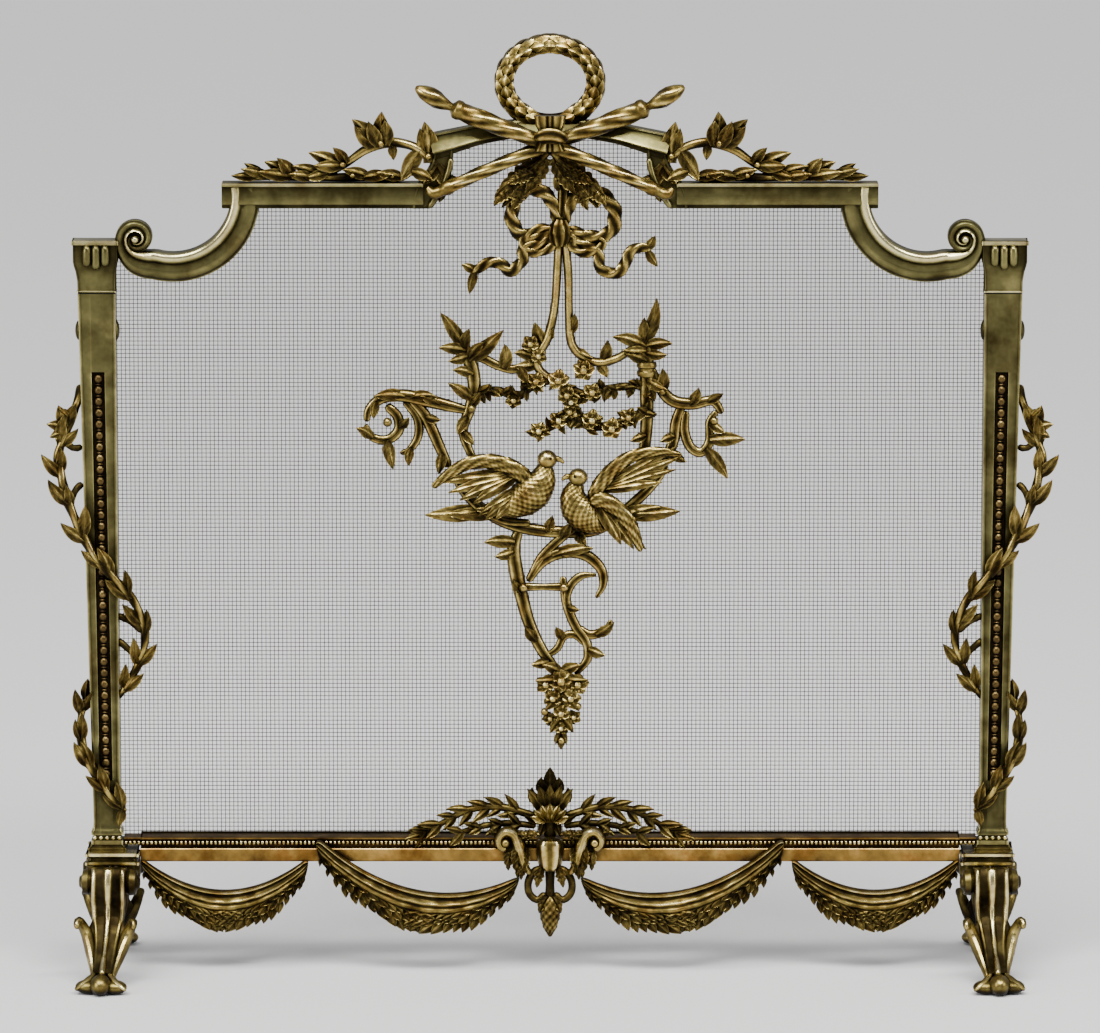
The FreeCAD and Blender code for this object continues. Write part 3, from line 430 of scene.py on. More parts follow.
# Cast brass of the bottom rail: rubbed bare by the hearth brush, so warmer than the frame
railBrass = castBrass("castBrassRailWarm",
                      [(0.0, "#17100a"), (0.25, "#43321a"), (0.48, "#866933"),
                       (0.7, "#b8924e"), (1.0, "#f0dca0")],
                      0.22, 0.42, 1.6, 18, 0.12, stain=0.6, stainColour="#a87c48")
# Dark cast brass down in the post channels: nearly all patina
darkBrass = castBrass("brownPatinatedCastBrass",
                      [(0.0, "#0f0b07"), (0.4, "#2c2216"), (0.7, "#5f4d2b"), (1.0, "#ab9560")],
                      0.32, 0.55, 1.2, 10, 0.2)
# Rolled brass strip: drawn smooth, thinly tarnished
stripBrass = castBrass("rolledBrassTarnished",
                       [(0.0, "#2a2210"), (0.4, "#5e5028"), (0.7, "#8f7c40"), (1.0, "#bfab6a")],
                       0.28, 0.42, 2.5, 20, 0.08)
# Turned brass screws: machined, a little brighter than the strips
screwBrass = castBrass("turnedBrassScrews",
                       [(0.0, "#34290f"), (0.4, "#77652f"), (0.7, "#ab9550"), (1.0, "#dcc98a")],
                       0.22, 0.38, 1.5, 12, 0.08)
# Woven brass wire gone dark brown-grey with heat and smoke
wireBrass = castBrass("wovenWireSmoked",
                      [(0.0, "#17130f"), (0.4, "#3a332b"), (0.7, "#5c5245"), (1.0, "#8a7c66")],
                      0.42, 0.55, 0.8, 60, 0.0)

ornament = (ornamentBrass, "ornament_brass")
framing = (frameBrass, "frame_brass")
railing = (railBrass, "frame_brass")
footing = (footBrass, "foot_brass")
dark = (darkBrass, "dark_brass")
woven = (wireBrass, "wire_mesh")
print("finishes ready")


post = {"channelHalf": 4.5, "channelFoot": 47.0, "channelHead": 58.0, "channelDepth": 2.5,
        "bossRadius": 7.2, "bossDrop": 28.0, "knobRadius": 1.7, "knobPitch": 4.4, "beadPitch": 8.2}


# The post's shaft widens evenly from its foot to its head
def postWidth(z):
    return postFoot + (postHead - innerHalf - postFoot) * (z - neckTop) / (seamLevel - neckTop)


# Post: a ring round the shaft at each height, its front sunk by the channel's depth
def makePost():
    low, high = neckTop + post["channelFoot"], seamLevel - post["channelHead"]
    z = np.r_[neckTop, neckTop + 3, neckTop + 3.4, neckTop + 6.6, neckTop + 7, neckTop + 9,
              neckTop + 10.5, neckTop + 13, neckTop + 17, low - 0.8, low, low + 0.5,
              np.linspace(low + 20, high - 20, 12), high - 0.5, high, high + 0.8, seamLevel - 1]
    lip = np.interp(z - neckTop, [0, 3, 3.4, 6.6, 7, 9, 10.5, 13, 17],
                    [2, 2, 0.6, 0.6, 1.9, 1.9, 0.9, 0.3, 0])
    width = postWidth(z)
    half, middle = (width / 2 + lip)[:, None], (innerHalf + width / 2)[:, None]
    c = post["channelHalf"]
    edge = np.array([0, 0.3, 1.2, 2.0, 2.3])
    inner = np.array([c + 0.8, c + 0.2, c - 0.25, c - 1.5])
    left = np.concatenate([-half + edge, -inner + 0 * half], 1)
    x = np.concatenate([left, -left[:, ::-1], half, half - 1.2, -half + 1.2, -half], 1)
    inChannel = ((z > low - 0.1) & (z < high + 0.1))[:, None]
    sink = np.array([1.2, 0.35, 0, 0, 0.35, 0.35, 0.1, 0, 0])
    deep = np.array([0, 0, 0, 0, 0, 0, 0, 1, 1.0]) * post["channelDepth"]
    dy = sink + inChannel * deep
    front, rear = frontFace - lip[:, None], rearFace + 0 * half
    y = np.concatenate([front + dy, front + dy[:, ::-1], rear - 1.2, rear, rear, rear - 1.2], 1)
    tone = np.array([0.6, 0.74, 0.45, 0.38, 0.3, 0.42, 0.66, 0.1, 0.1])
    flat = np.array([0.6, 0.74, 0.45, 0.38, 0.38, 0.38, 0.38, 0.38, 0.38])
    inside = np.r_[tone, tone[::-1], 0.4, 0.35, 0.35, 0.4]
    outside = np.r_[flat, flat[::-1], 0.4, 0.35, 0.35, 0.4]
    wear = np.where(inChannel, inside, outside) + 0 * x
    wear[(z < neckTop + 9) & (lip > 1)] += 0.15
    shaft = shell(np.stack([middle + x, y, z[:, None] + 0 * x], -1), wear)
    knobs = [[innerHalf + postFoot / 2 + k * post["knobPitch"], frontFace - 1.2, neckTop + 5,
              post["knobRadius"]] for k in (-2, -1, 0, 1, 2)]
    level = seamLevel - post["bossDrop"]
    bosses = [[innerHalf, 0, level, 2.6, 5.2, post["bossRadius"]],
              [postHead - 0.5, 0, level, 2.8, 5.2, post["bossRadius"]]]
    return [shaft, balls(knobs, tone=0.85), balls(bosses, 11, 16, tone=0.3)]


# Beads and reels in the channel, on a thin strip that leans with the post
def makePostBeads():
    low, high = neckTop + post["channelFoot"] + 0.3, seamLevel - post["channelHead"] - 0.3
    z = np.linspace(low + 4, high - 4, int((high - low) / post["beadPitch"]))
    bed = frontFace + post["channelDepth"]
    spot = np.zeros_like(z)
    beads = np.stack([innerHalf + postWidth(z) / 2, spot + bed - 0.9, z, spot + 3.2,
                      spot + 2.2, spot + 3.3], 1)
    reels = beads[:-1] * (1, 1, 1, 0.9, 0.6, 0.25) + (0, 0, (z[1] - z[0]) / 2, 0, 0, 0)
    rows = [[low, 4.1, bed - 0.9, bed + 0.2], [high, 4.1, bed - 0.9, bed + 0.2]]
    strip = stacked(0, rows, 0.3, tones=[0.15, 0.15])
    strip["points"][:, 0] += innerHalf + postWidth(strip["points"][:, 2]) / 2
    return [strip, balls(beads, 7, 10, tone=0.62), balls(reels, 5, 8, tone=0.5)]


capital = {"reedRadius": 3.5, "reedPitch": 6.5}


# Capital: block with a hollow flare on its outer side, an abacus and three reeds in front
def makeCapital():
    inner, outer = innerHalf, postHead
    levels = np.array([seamLevel, seamLevel + 1.1, seamLevel + 1.4, seamLevel + 8,
                       capFoot - 6, capFoot - 2, capFoot + 1, capTop - 4, capTop - 3.4,
                       capTop - 3.2, capTop - 0.5, capTop])
    out = np.array([0.5, 0.5, 0, 0.1, 1.2, 2.4, 3.0, 3.0, 3.2, 4.0, 4.0, 3.5])
    into = np.array([0.5, 0.5, 0, 0, 0.4, 1.0, 1.8, 1.8, 2.0, 2.6, 2.6, 2.2])
    proud = np.array([0.5, 0.5, 0, 0, 0.4, 0.9, 1.4, 1.4, 1.8, 3.2, 3.2, 2.7])
    rows = np.stack([levels, (outer - inner + out + into) / 2, frontFace - proud,
                     levels * 0 + rearFace], 1)
    tones = [0.95, 0.95, 0.45, 0.42, 0.3, 0.26, 0.24, 0.22, 0.3, 0.8, 0.9, 0.85]
    block = stacked(0, rows, 1.0, tones=tones)
    shift = np.interp(block["points"][:, 2], levels, (outer + out + inner - into) / 2)
    block["points"][:, 0] += shift
    shells = [block]
    for k in (-1, 0, 1):
        x = (inner + outer) / 2 + k * capital["reedPitch"]
        low = capFoot - 4.5 + 2.2 * abs(k)
        shells.append(bar([(x, low), (x, (low + capTop) / 2), (x, capTop - 3.0)],
                          capital["reedRadius"], frontFace - 1.0, flat=1.1, step=2, tone=0.5))
    return shells


# Steps are height and inset; the neck's are height, half width, how proud in front, back y
plinth = {"steps": [(0, 0.6), (0.5, 0), (2.4, 0), (2.8, 0.8), (3.6, 2.2), (5.2, 2.6), (6.2, 1.6),
                    (6.6, 0.2), (8.6, 0), (9, 0.5)],
          "neck": [(8.5, 14, 3.4, 7.4), (10.6, 13.8, 3.2, 7.2), (11.2, 12.6, 2.2, 6.6),
                   (12.4, 12.2, 2, 6.5), (13, 12, 1.8, 6.5)]}


# Plinth: stacked plates with a cove, and the neck under the post
def makePlinth():
    middle = (plinthLow[0] + plinthHigh[0]) / 2
    low = plinthLow[2]
    half, deep = (plinthHigh[0] - plinthLow[0]) / 2, plinthHigh[1]
    rows = [[low + h, half - inset, -deep + inset, deep - inset] for h, inset in plinth["steps"]]
    tones = [0.6, 0.85, 0.8, 0.4, 0.2, 0.2, 0.3, 0.85, 0.95, 0.75]
    plate = stacked(middle, rows, 1.6, tones=tones)
    rows = [[low + h, wide, frontFace - proud, back] for h, wide, proud, back in plinth["neck"]]
    neck = stacked(innerHalf + postFoot / 2, rows, 1.0, tones=[0.5, 0.7, 0.35, 0.3, 0.4])
    return [plate, neck]


# Drum whose axis runs to the viewer: (x + r cos a, y, z + r sin a), each row being y and r
def drumAt(x, z, rows, around=28, tone=0.4):
    rows = np.array(rows, float)
    a = np.linspace(0, 2 * math.pi, around, endpoint=False)[None]
    y, r = rows[:, :1], rows[:, 1:2]
    return shell(np.stack([x + r * np.cos(a), y + 0 * a, z + r * np.sin(a)], -1), tone)


# The volute's rows are angle, radius, half width and how far it steps forward
scroll = {"inner": 41.0, "outer": 62.0, "centreRise": 9.0, "eyeIn": 14.3, "eyeUp": 1.0,
          "eyeRadius": 2.9,
          "volute": [[-122, 22.7, 10.4, 0], [-108, 19.6, 9.9, 0.1], [-90, 16.6, 8.9, 0.4],
                     [-66, 13.6, 6.8, 0.9], [-45, 11.7, 5.8, 1.4], [-20, 10.2, 5.2, 2],
                     [5, 9.4, 4.8, 2.5], [50, 9.0, 4.7, 3], [100, 8.9, 4.6, 3],
                     [150, 8.5, 4.4, 3], [200, 7.5, 4.1, 3], [250, 6.1, 3.7, 3],
                     [300, 4.7, 3.1, 2.8], [350, 3.3, 2.5, 2.6], [400, 2.2, 2.0, 2.4]]}
scrollX = innerHalf - scroll["inner"]
scrollZ = shoulderFoot + scroll["centreRise"]


# Scroll: its middle line runs round a circle, then winds into the volute as rho(phi)
def makeScroll():
    middle = (scroll["inner"] + scroll["outer"]) / 2
    turn = np.radians(np.linspace(172, 284, 40))
    ring = np.stack([scrollX + middle * np.cos(turn), scrollZ + middle * np.sin(turn)], 1)
    eyeX, eyeZ = innerHalf - scroll["eyeIn"], capTop + scroll["eyeUp"]
    winding = smooth(scroll["volute"], 90)
    phi = np.radians(winding[:, 0])
    curl = np.stack([eyeX + winding[:, 1] * np.cos(phi), eyeZ + winding[:, 1] * np.sin(phi)], 1)
    xz = np.vstack([ring, curl])
    half = np.r_[np.full(len(ring), 10.5), winding[:, 2]]
    proud = np.r_[np.zeros(len(ring)), winding[:, 3]]
    path = np.stack([xz[:, 0], -proud, xz[:, 1]], 1)
    profile = np.array([[-1, 3.4], [-0.97, 5.4], [-0.85, 7.0], [-0.66, 7.8], [-0.46, 7.2],
                        [-0.3, 5.6], [-0.2, 4.7], [-0.1, 4.9], [0.2, 6.2], [0.5, 6.4],
                        [0.74, 5.4], [0.84, 4.2], [0.88, 3.2], [0.98, 3.0], [1, 2.2]])
    wear = [0.4, 0.7, 0.9, 0.95, 0.85, 0.5, 0.15, 0.25, 0.45, 0.45, 0.4, 0.25, 0.3, 0.6, 0.4]
    shrink = np.interp(half, [1.5, 4, 10.5], [0.35, 0.6, 1.0])[:, None]
    ringRow = np.vstack([profile, [[1, -rearFace], [-1, -rearFace]]])
    sx = ringRow[None, :, 0] * half[:, None]
    onFront = np.arange(len(ringRow)) < len(profile)
    sy = np.where(onFront, ringRow[:, 1] * (0.4 + 0.6 * shrink) + 2.6 * (1 - shrink),
                  ringRow[:, 1] + proud[:, None])
    grid = carry(path, np.stack([sx, sy], -1))
    band = shell(grid, np.r_[wear, 0.3, 0.3][None] + 0 * half[:, None])
    drum = drumAt(eyeX, eyeZ, [[rearFace, 9.6], [rearFace - 0.4, 10.2], [-5.4, 10.2], [-5.6, 9.8]],
                  tone=0.3)
    r = scroll["eyeRadius"]
    eye = balls([[eyeX, frontFace - 3, eyeZ, r, 3.4, r]], 9, 14, tone=0.85)
    return [band, drum, eye]


# Profiles are (across, proud) pairs; the riser's rows are height, inner edge, outer edge, proud
shoulder = {"profile": [[-1, 8.4], [-0.98, 8.9], [-0.74, 8.9], [-0.7, 8.2], [-0.66, 6.4],
                        [-0.55, 6.2], [0, 6.6], [0.6, 7.0], [0.7, 6.6], [0.74, 5.4], [0.8, 5.2],
                        [0.97, 5.2], [1, 4.6]],
            "wear": [0.7, 0.85, 0.7, 0.3, 0.12, 0.25, 0.36, 0.46, 0.35, 0.08, 0.08, 0.2, 0.15],
            "riser": [(0, 85, 98, 6.2), (4, 82, 98, 6.6), (10, 78, 97, 6.8), (18, 73.5, 94, 6.8),
                      (26, 70.5, 88, 6.6), (34, 68.8, 84, 6.2), (43, 68, 82.5, 5.6)]}


# Straight rail, and the return that steps up to the arch with a rounded rim
def makeShoulder():
    middle, half = (shoulderFoot + shoulderTop) / 2, (shoulderTop - shoulderFoot) / 2
    x = np.r_[90, 91, np.linspace(104, shoulderEnd - 12, 14), shoulderEnd - 4, shoulderEnd - 0.5,
              shoulderEnd]
    path = np.stack([x, 0 * x, middle + 0 * x], 1)
    end = np.interp(x, [90, 91, shoulderEnd - 0.5, shoulderEnd], [0.94, 1, 1, 0.93])
    straight = moulding(path, shoulder["profile"], half * end, shoulder["wear"])
    edge = smooth([(shoulderFoot + rise, *rest) for rise, *rest in shoulder["riser"]], 26)
    z, inner, outer, proud = edge.T
    riser = stacked(0, np.stack([z, (outer - inner) / 2, -proud, 0 * z + rearFace], 1), 2.2,
                    tones=0 * z + 0.34)
    riser["points"][:, 0] += np.interp(riser["points"][:, 2], z, (inner + outer) / 2)
    rim = np.stack([inner + 1.6, -proud - 0.2, z], 1)[1:-1:3]
    return [straight, riser, bar(rim, [2.2, 2.4, 2.2], step=2, tone=0.5)]


# The line's rows are x, height over the underside and half the bar's depth
arch = {"profile": [[-1, 3.4], [-0.96, 4.6], [-0.8, 5.0], [-0.72, 4.2], [-0.6, 4.4], [-0.2, 5.8],
                    [0.2, 7.4], [0.42, 8.2], [0.55, 7.6], [0.6, 5.6], [0.75, 5.2], [0.97, 5.0],
                    [1, 4.2]],
        "wear": [0.45, 0.7, 0.5, 0.12, 0.25, 0.36, 0.42, 0.6, 0.4, 0.08, 0.1, 0.15, 0.15],
        "line": [(-84, -8, 9), (-70, -4.5, 8.4), (-42, 2, 6.8), (0, 6, 6), (42, 2, 6.8),
                 (70, -4.5, 8.4), (84, -8, 9)]}


# Low arch: a bar deeper at its ends, bowed up in the middle
def makeArch():
    x, z, half = smooth([(x, archUnder + rise, half) for x, rise, half in arch["line"]], 64).T
    return [moulding(np.stack([x, 0 * x, z], 1), arch["profile"], half, arch["wear"])]


rail = {"profile": [[-1, 7.2], [-0.97, 7.9], [-0.86, 7.9], [-0.82, 7.2], [-0.78, 5.8], [-0.2, 5.8],
                    [-0.14, 7.4], [-0.1, 8.6], [-0.04, 9.0], [0.9, 9.0], [0.97, 8.6], [1, 8.0]],
        "wear": [0.35, 0.45, 0.3, 0.15, 0.06, 0.08, 0.4, 0.7, 0.5, 0.45, 0.6, 0.35],
        "lug": [[-1, 7.2], [-0.94, 7.9], [-0.7, 7.9], [-0.62, 7.2], [-0.56, 5.8], [0.84, 5.8],
                [0.9, 6.4], [1, 6.4]],
        "lugWear": [0.35, 0.45, 0.3, 0.15, 0.06, 0.08, 0.3, 0.3], "gap": 0.3}


# Bottom rail, with a lug at each end that carries the moulding to the post
def makeRail():
    reach, lugFoot = plinthLow[0] - rail["gap"], neckTop + rail["gap"]
    x = np.linspace(-reach, reach, 40)
    line = np.stack([x, 0 * x, (railFoot + railTop) / 2 + 0 * x], 1)
    shells = [moulding(line, rail["profile"], (railTop - railFoot) / 2, rail["wear"])]
    for side in (-1, 1):
        ends = np.sort([side * (reach - 1), side * (innerHalf - 2.3)])
        x = np.linspace(ends[0], ends[1], 8)
        line = np.stack([x, 0 * x, (lugFoot + railTop) / 2 + 0 * x], 1)
        shells.append(moulding(line, rail["lug"], (railTop - lugFoot) / 2, rail["lugWear"]))
    return shells


beading = {"count": 200, "inFromPost": 4.0, "drop": 4.0, "radii": (1.4, 1.3, 1.7)}


# Row of beads at even steps along the rail, a little taller than wide
def makeRailBeading():
    reach = innerHalf - beading["inFromPost"]
    x = np.linspace(-reach, reach, beading["count"])
    rest = [frontFace - 0.1, railTop - beading["drop"], *beading["radii"]]
    rows = np.stack([x] + [0 * x + value for value in rest], 1)
    return [balls(rows, 5, 6, tone=0.7)]


addPair("post", makePost(), framing)
addPair("post_bead_strip", makePostBeads(), dark)
addPair("capital", makeCapital(), framing)
addPair("plinth", makePlinth(), footing)
addPair("scroll_rail", makeScroll(), framing)
addPair("shoulder_rail", makeShoulder(), framing, 30)
addCast("crest_arch", makeArch(), 30, framing)
addCast("bottom_rail", makeRail(), 30, railing)
addCast("rail_beading", makeRailBeading())
print("frame pieces made")


mesh = {"pitch": 3.0, "wireRadius": 0.28, "weave": 0.28}


# Height of the mesh's upper edge over x: arch, shoulder, scroll bowl, then level
def meshTop(x):
    x = np.abs(x)
    lap = scroll["outer"] - 8
    bowl = scrollZ - np.sqrt(np.clip(lap ** 2 - (x - scrollX) ** 2, 0, None))
    bow = archUnder + 7 - 17.5 * (x / 74) ** 2
    top = np.where(x < 77, bow, np.interp(x, [77, 97], [shoulderFoot + 30, shoulderFoot + 8]))
    top = np.where(x > 97, shoulderFoot + 8, top)
    top = np.where(x > scrollX - lap, np.minimum(top, bowl), top)
    return np.where(x > innerHalf - 9, np.minimum(top, capTop - 7), top)


# Wires: one ring of three points at each crossing, over and under by turns:
# y = middle + weave cos(pi (i + j)), the other set being half a turn behind
def makeWires(upright):
    pitch, r, weave = mesh["pitch"], mesh["wireRadius"], mesh["weave"]
    x = np.arange(-int(meshHigh[0] / pitch), int(meshHigh[0] / pitch) + 1) * pitch
    z = np.arange(meshLow[2] + 1, meshHigh[2], pitch)
    i, j = np.meshgrid(np.arange(len(x)), np.arange(len(z)), indexing="ij")
    gx, gz = x[i], z[j]
    inside = gz < meshTop(gx)
    if not upright:
        i, j, gx, gz, inside = i.T, j.T, gx.T, gz.T, inside.T
    phase = 1 if upright else -1
    gy = (meshLow[1] + meshHigh[1]) / 2 + phase * weave * np.cos(math.pi * (i + j))
    a = np.radians([90, 210, 330])
    across = r * np.cos(a)
    ox, oz = (across, 0 * across) if upright else (0 * across, across)
    points = np.stack([gx[..., None] + ox, gy[..., None] - r * np.sin(a), gz[..., None] + oz], -1)
    index = np.arange(points[..., 0].size).reshape(points.shape[:3])
    both = inside[:, :-1] & inside[:, 1:]
    here, there = index[:, :-1][both], index[:, 1:][both]
    quads = np.stack([here, np.roll(here, -1, 1), np.roll(there, -1, 1), there], -1).reshape(-1, 4)
    padded = np.pad(inside, ((0, 0), (1, 1)))
    starts = index[inside & ~padded[:, :-2]]
    ends = index[inside & ~padded[:, 2:]]
    if upright:
        quads, starts, ends = quads[:, ::-1], starts[:, ::-1], ends[:, ::-1]
    caps = np.concatenate([starts[:, ::-1], ends])
    used = np.unique(quads)
    lookup = np.zeros(points[..., 0].size, int)
    lookup[used] = np.arange(len(used))
    caps = caps[np.isin(caps, used).all(1)]
    wear = np.full(len(used), 0.5)
    return points.reshape(-1, 3)[used], lookup[quads], lookup[caps], wear


# The part of a set of wires on one side of a cut, without the points it no longer uses
def cutWires(wires, axis, keep):
    points, quads, caps, wear = wires
    faces = [quads[keep(points[quads[:, 0], axis])], caps[keep(points[caps[:, 0], axis])]]
    used = np.unique(np.concatenate([f.ravel() for f in faces]))
    lookup = np.zeros(len(points), int)
    lookup[used] = np.arange(len(used))
    return {"points": points[used], "faces": [lookup[f] for f in faces], "wear": wear[used]}


warp, weft = makeWires(True), makeWires(False)
weftMiddle = np.median(weft[0][:, 2])
for name, wires, axis, keep in (
        ("mesh_wires_upright_left", warp, 0, lambda v: v < -1),
        ("mesh_wires_upright_right", warp, 0, lambda v: v >= -1),
        ("mesh_wires_level_low", weft, 2, lambda v: v < weftMiddle + 1),
        ("mesh_wires_level_high", weft, 2, lambda v: v >= weftMiddle + 1)):
    addPiece(name, [cutWires(wires, axis, keep)], woven, ["mesh_panel"], 70)
for node, metal in (("mesh_strips_side", stripBrass), ("mesh_strip_bottom", stripBrass),
                    ("mesh_strips_top", stripBrass), ("mesh_screws", screwBrass),
                    ("foot_screws", screwBrass)):
    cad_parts[node].data.materials.clear()
    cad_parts[node].data.materials.append(metal)
print("mesh woven")


foot = {"splay": 4.0, "earRadius": 9.6, "earHalf": 22.0, "reed": 1.9}


# Console leg: a section with three narrow reeds and hollow grooves, carried down to the toe
def makeFoot():
    top = footHigh[2]
    line = smooth([(-21, top), (-27, top - 7), (-29, top - 17), (-28.5, top - 28),
                   (-32.5, top - 40), (-42, top - 50.5), (-55, top - 61), (-71, top - 70)], 52)
    path = np.stack([0 * line[:, 0], line[:, 0], line[:, 1]], 1)
    u = np.linspace(0, 1, 52)
    half = np.interp(u, [0, 0.35, 0.55, 0.75, 1], [12.5, 12.5, 11.5, 8.6, 7.0])
    thick = np.interp(u, [0, 0.12, 0.35, 0.6, 0.85, 1], [7, 8.5, 7.5, 7, 5.5, 4.5])
    s = np.r_[np.linspace(-1, 1, 41), np.linspace(0.85, -0.85, 7)]
    front = np.arange(48) < 41
    broad = np.interp(u, [0, 0.15, 0.4, 1], [0.26, 0.22, 0.15, 0.2])[:, None]
    reeds = (np.exp(-(s / broad) ** 4) + np.exp(-((np.abs(s) - 0.85) / 0.13) ** 4)
             * np.interp(u, [0, 0.5, 0.7, 1], [1, 1, 0.35, 0])[:, None])
    bulge = np.sqrt(np.clip(1 - s ** 4, 0, 1))
    y = np.where(front, thick[:, None] * (0.7 + 0.3 * bulge) + foot["reed"] * (reeds - 0.4),
                 -thick[:, None] * bulge)
    leg = shell(carry(path, np.stack([y, s * half[:, None]], -1), facing=(1, 0, 0)),
                np.where(front, 0.08 + 0.78 * reeds, 0.3))
    e, r = foot["earHalf"], foot["earRadius"]
    t = np.array([-e, -e + 0.2, -e + 1, -e + 1.4, -e + 2.2, -e + 3, -e + 7, -13, 13, e - 7, e - 3,
                  e - 2.2, e - 1.4, e - 1, e - 0.2, e])
    size = np.array([2.2, 3.6, 4.4, 4.6, 5.4, 8.8, r, 8.4, 8.4, r, 8.8, 5.4, 4.6, 4.4, 3.6, 2.2])
    a = np.linspace(0, 2 * math.pi, 26, endpoint=False)[None]
    ear = shell(np.stack([t[:, None] + 0 * a, -24.5 + size[:, None] * np.cos(a),
                          top - 11 + size[:, None] * np.sin(a)], -1), 0.3)
    toeY = footLow[1] + 9.8
    toe = balls([[0, toeY, 7.6, 7.4, 9.4, 7.6], [-9, toeY + 4, 5.4, 9.6, 7, 5.2],
                 [9, toeY + 4, 5.4, 9.6, 7, 5.2]], 16, 24, tone=0.45)
    web = smooth([(-31, 52, 9), (-36, 43, 12), (-39, 37, 14.5), (-45, 28, 12.6), (-54, 18.5, 10.2),
                  (-64, 10, 9)], 26)
    a = np.linspace(0, 2 * math.pi, 28, endpoint=False)[None]
    webPath = np.stack([0 * web[:, 0], web[:, 0], web[:, 1]], 1)
    plate = shell(carry(webPath, np.stack([2.6 * np.sin(a) + 0 * web[:, :1],
                                           web[:, 2:] * np.sign(np.cos(a)) * np.abs(np.cos(a)) ** 0.6],
                                          -1), facing=(1, 0, 0)), 0.12)
    shells = [leg, ear, toe, plate]
    for side in (-1, 1):
        curl = [(side * 6.5, -68, 9), (side * 8.5, -57, 17), (side * 11.5, -47, 27),
                (side * 14.5, -42, 35), (side * 17.5, -43, 42), (side * 19.5, -47, 46.5),
                (side * 20.5, -51, 45), (side * 20, -53, 41.5)]
        shells.append(bar(curl, [2.0, 2.8, 3.8, 4.6, 4.6, 4.0, 3.2, 1.8], flat=0.75, tone=0.42,
                          keel=0.35, step=1.6))
        lobe = [(side * 5, toeY + 9, 14), (side * 10, toeY + 3, 9.5), (side * 15.5, toeY, 6),
                (side * 18, toeY + 1, 3.6)]
        shells.append(bar(lobe, [1.4, 2.6, 2.6, 1.6], flat=0.8, tone=0.5, keel=0.3, step=1.4))
    shells.append(bar([(0, -60, 24), (0, -67, 17), (0, -74, 12)], [1.6, 2.6, 2.8], tone=0.7,
                      keel=0.3, step=1.6))
    turn = math.radians(foot["splay"])
    middle = (plinthLow[0] + plinthHigh[0]) / 2
    for part in shells:
        x, y, z = part["points"].T
        part["points"] = np.stack([middle + x * math.cos(turn) - y * math.sin(turn),
                                   np.minimum(x * math.sin(turn) + y * math.cos(turn), -0.15),
                                   np.clip(z, 0, top)], 1)
    return shells


consoleFoot = makeFoot()
addPair("front_foot", consoleFoot, footing)
addPair("rear_foot", mirrored(consoleFoot, (1, -1, 1)), footing)
print("feet made")


wreath = {"halfWidth": 32.5, "halfHeight": 27.5, "core": 5.4, "leavesEachSide": 10}


# Ring coordinates: ring angle a, band angle b and band radius r become
# ((W + r cos b) cos a, -r sin b, (H + r cos b) sin a)
def onRing(a, b, r):
    w, h = wreath["halfWidth"], wreath["halfHeight"]
    centre = archTop + h - 2
    return np.stack([(w + r * np.cos(b)) * np.cos(a), -r * np.sin(b) + 0 * a,
                     centre + (h + r * np.cos(b)) * np.sin(a)], -1)


# Wreath: leaves laid along the ring in seven rows round the band, meeting at the top
def makeWreath():
    a = np.linspace(0, 2 * math.pi, 72, endpoint=False)[:, None]
    b = np.linspace(0, 2 * math.pi, 10, endpoint=False)[None]
    core = shell(onRing(a, b, wreath["core"] + 0 * b), 0.1, loop=True)
    count = wreath["leavesEachSide"]
    k = np.arange(count)
    rows = []
    for shift, band in ((0, 95), (0.5, 38), (0.45, 150), (0.1, -15), (0.9, 200), (0.5, 255),
                        (0.5, -65)):
        along = -84 + (k + shift) * 176 / count
        rows.append(np.stack([along, band + 9 * np.sin(3.1 * k)], 1))
    start, band = np.radians(np.concatenate(rows)).T[..., None, None]
    u = np.linspace(0, 1, 9)[None, :, None]
    s = np.array([-1, -0.8, -0.45, -0.2, 0, 0.2, 0.45, 0.8, 1, 0.5, 0, -0.5])[None, None]
    front = np.arange(12) < 9
    shape = np.sin(math.pi * np.clip(u, 0.04, 0.97) ** 0.8) ** 0.8
    lift = wreath["core"] - 1.0 + 3.4 * u * shape ** 0.3
    rise = np.where(front, 0.6 * (1 - s ** 2) + 0.8 * np.exp(-(s / 0.2) ** 2) + 0.4 * s ** 6,
                    -0.5 * (1 - s ** 2))
    ringAngle = start + u * math.radians(27)
    grid = onRing(ringAngle, band + s * shape * math.radians(42), lift + rise * shape)
    wear = (0.1 + 0.42 * u + 0.3 * np.exp(-(s / 0.25) ** 2) + 0.2 * s ** 6) * np.where(front, 1, 0.6)
    wear = wear + 0 * start
    return [core, shell(grid, wear), shell(grid * (-1, 1, 1), wear)]


# Radii are share of the way along, radius and how deep the flutes are there
torch = {"route": [(-95, 24), (-72, 11), (-40, -2), (-8, -14), (20, -25), (50, -38), (72, -48),
                   (82, -52), (87, -48)],
         "radii": [[0, 1.2, 0.4], [0.008, 2.8, 0.6], [0.03, 5.0, 0.8], [0.06, 6.3, 1],
                   [0.09, 6.2, 1], [0.118, 4.6, 0.7], [0.136, 3.2, 0.3], [0.148, 2.9, 0],
                   [0.154, 5.6, 0], [0.16, 7.0, 0], [0.178, 7.2, 0], [0.186, 6.3, 0],
                   [0.2, 6.5, 0.6], [0.22, 6.8, 1], [0.34, 6.2, 1], [0.46, 5.2, 0.8],
                   [0.52, 4.6, 0.6], [0.6, 4.9, 1], [0.8, 4.7, 1], [0.89, 4.3, 1],
                   [0.905, 5.2, 0], [0.925, 5.2, 0], [0.94, 3.9, 0], [0.975, 4.2, 0],
                   [1, 1.6, 0]],
         "flute": 0.06, "flutes": 5, "twist": 0.3}


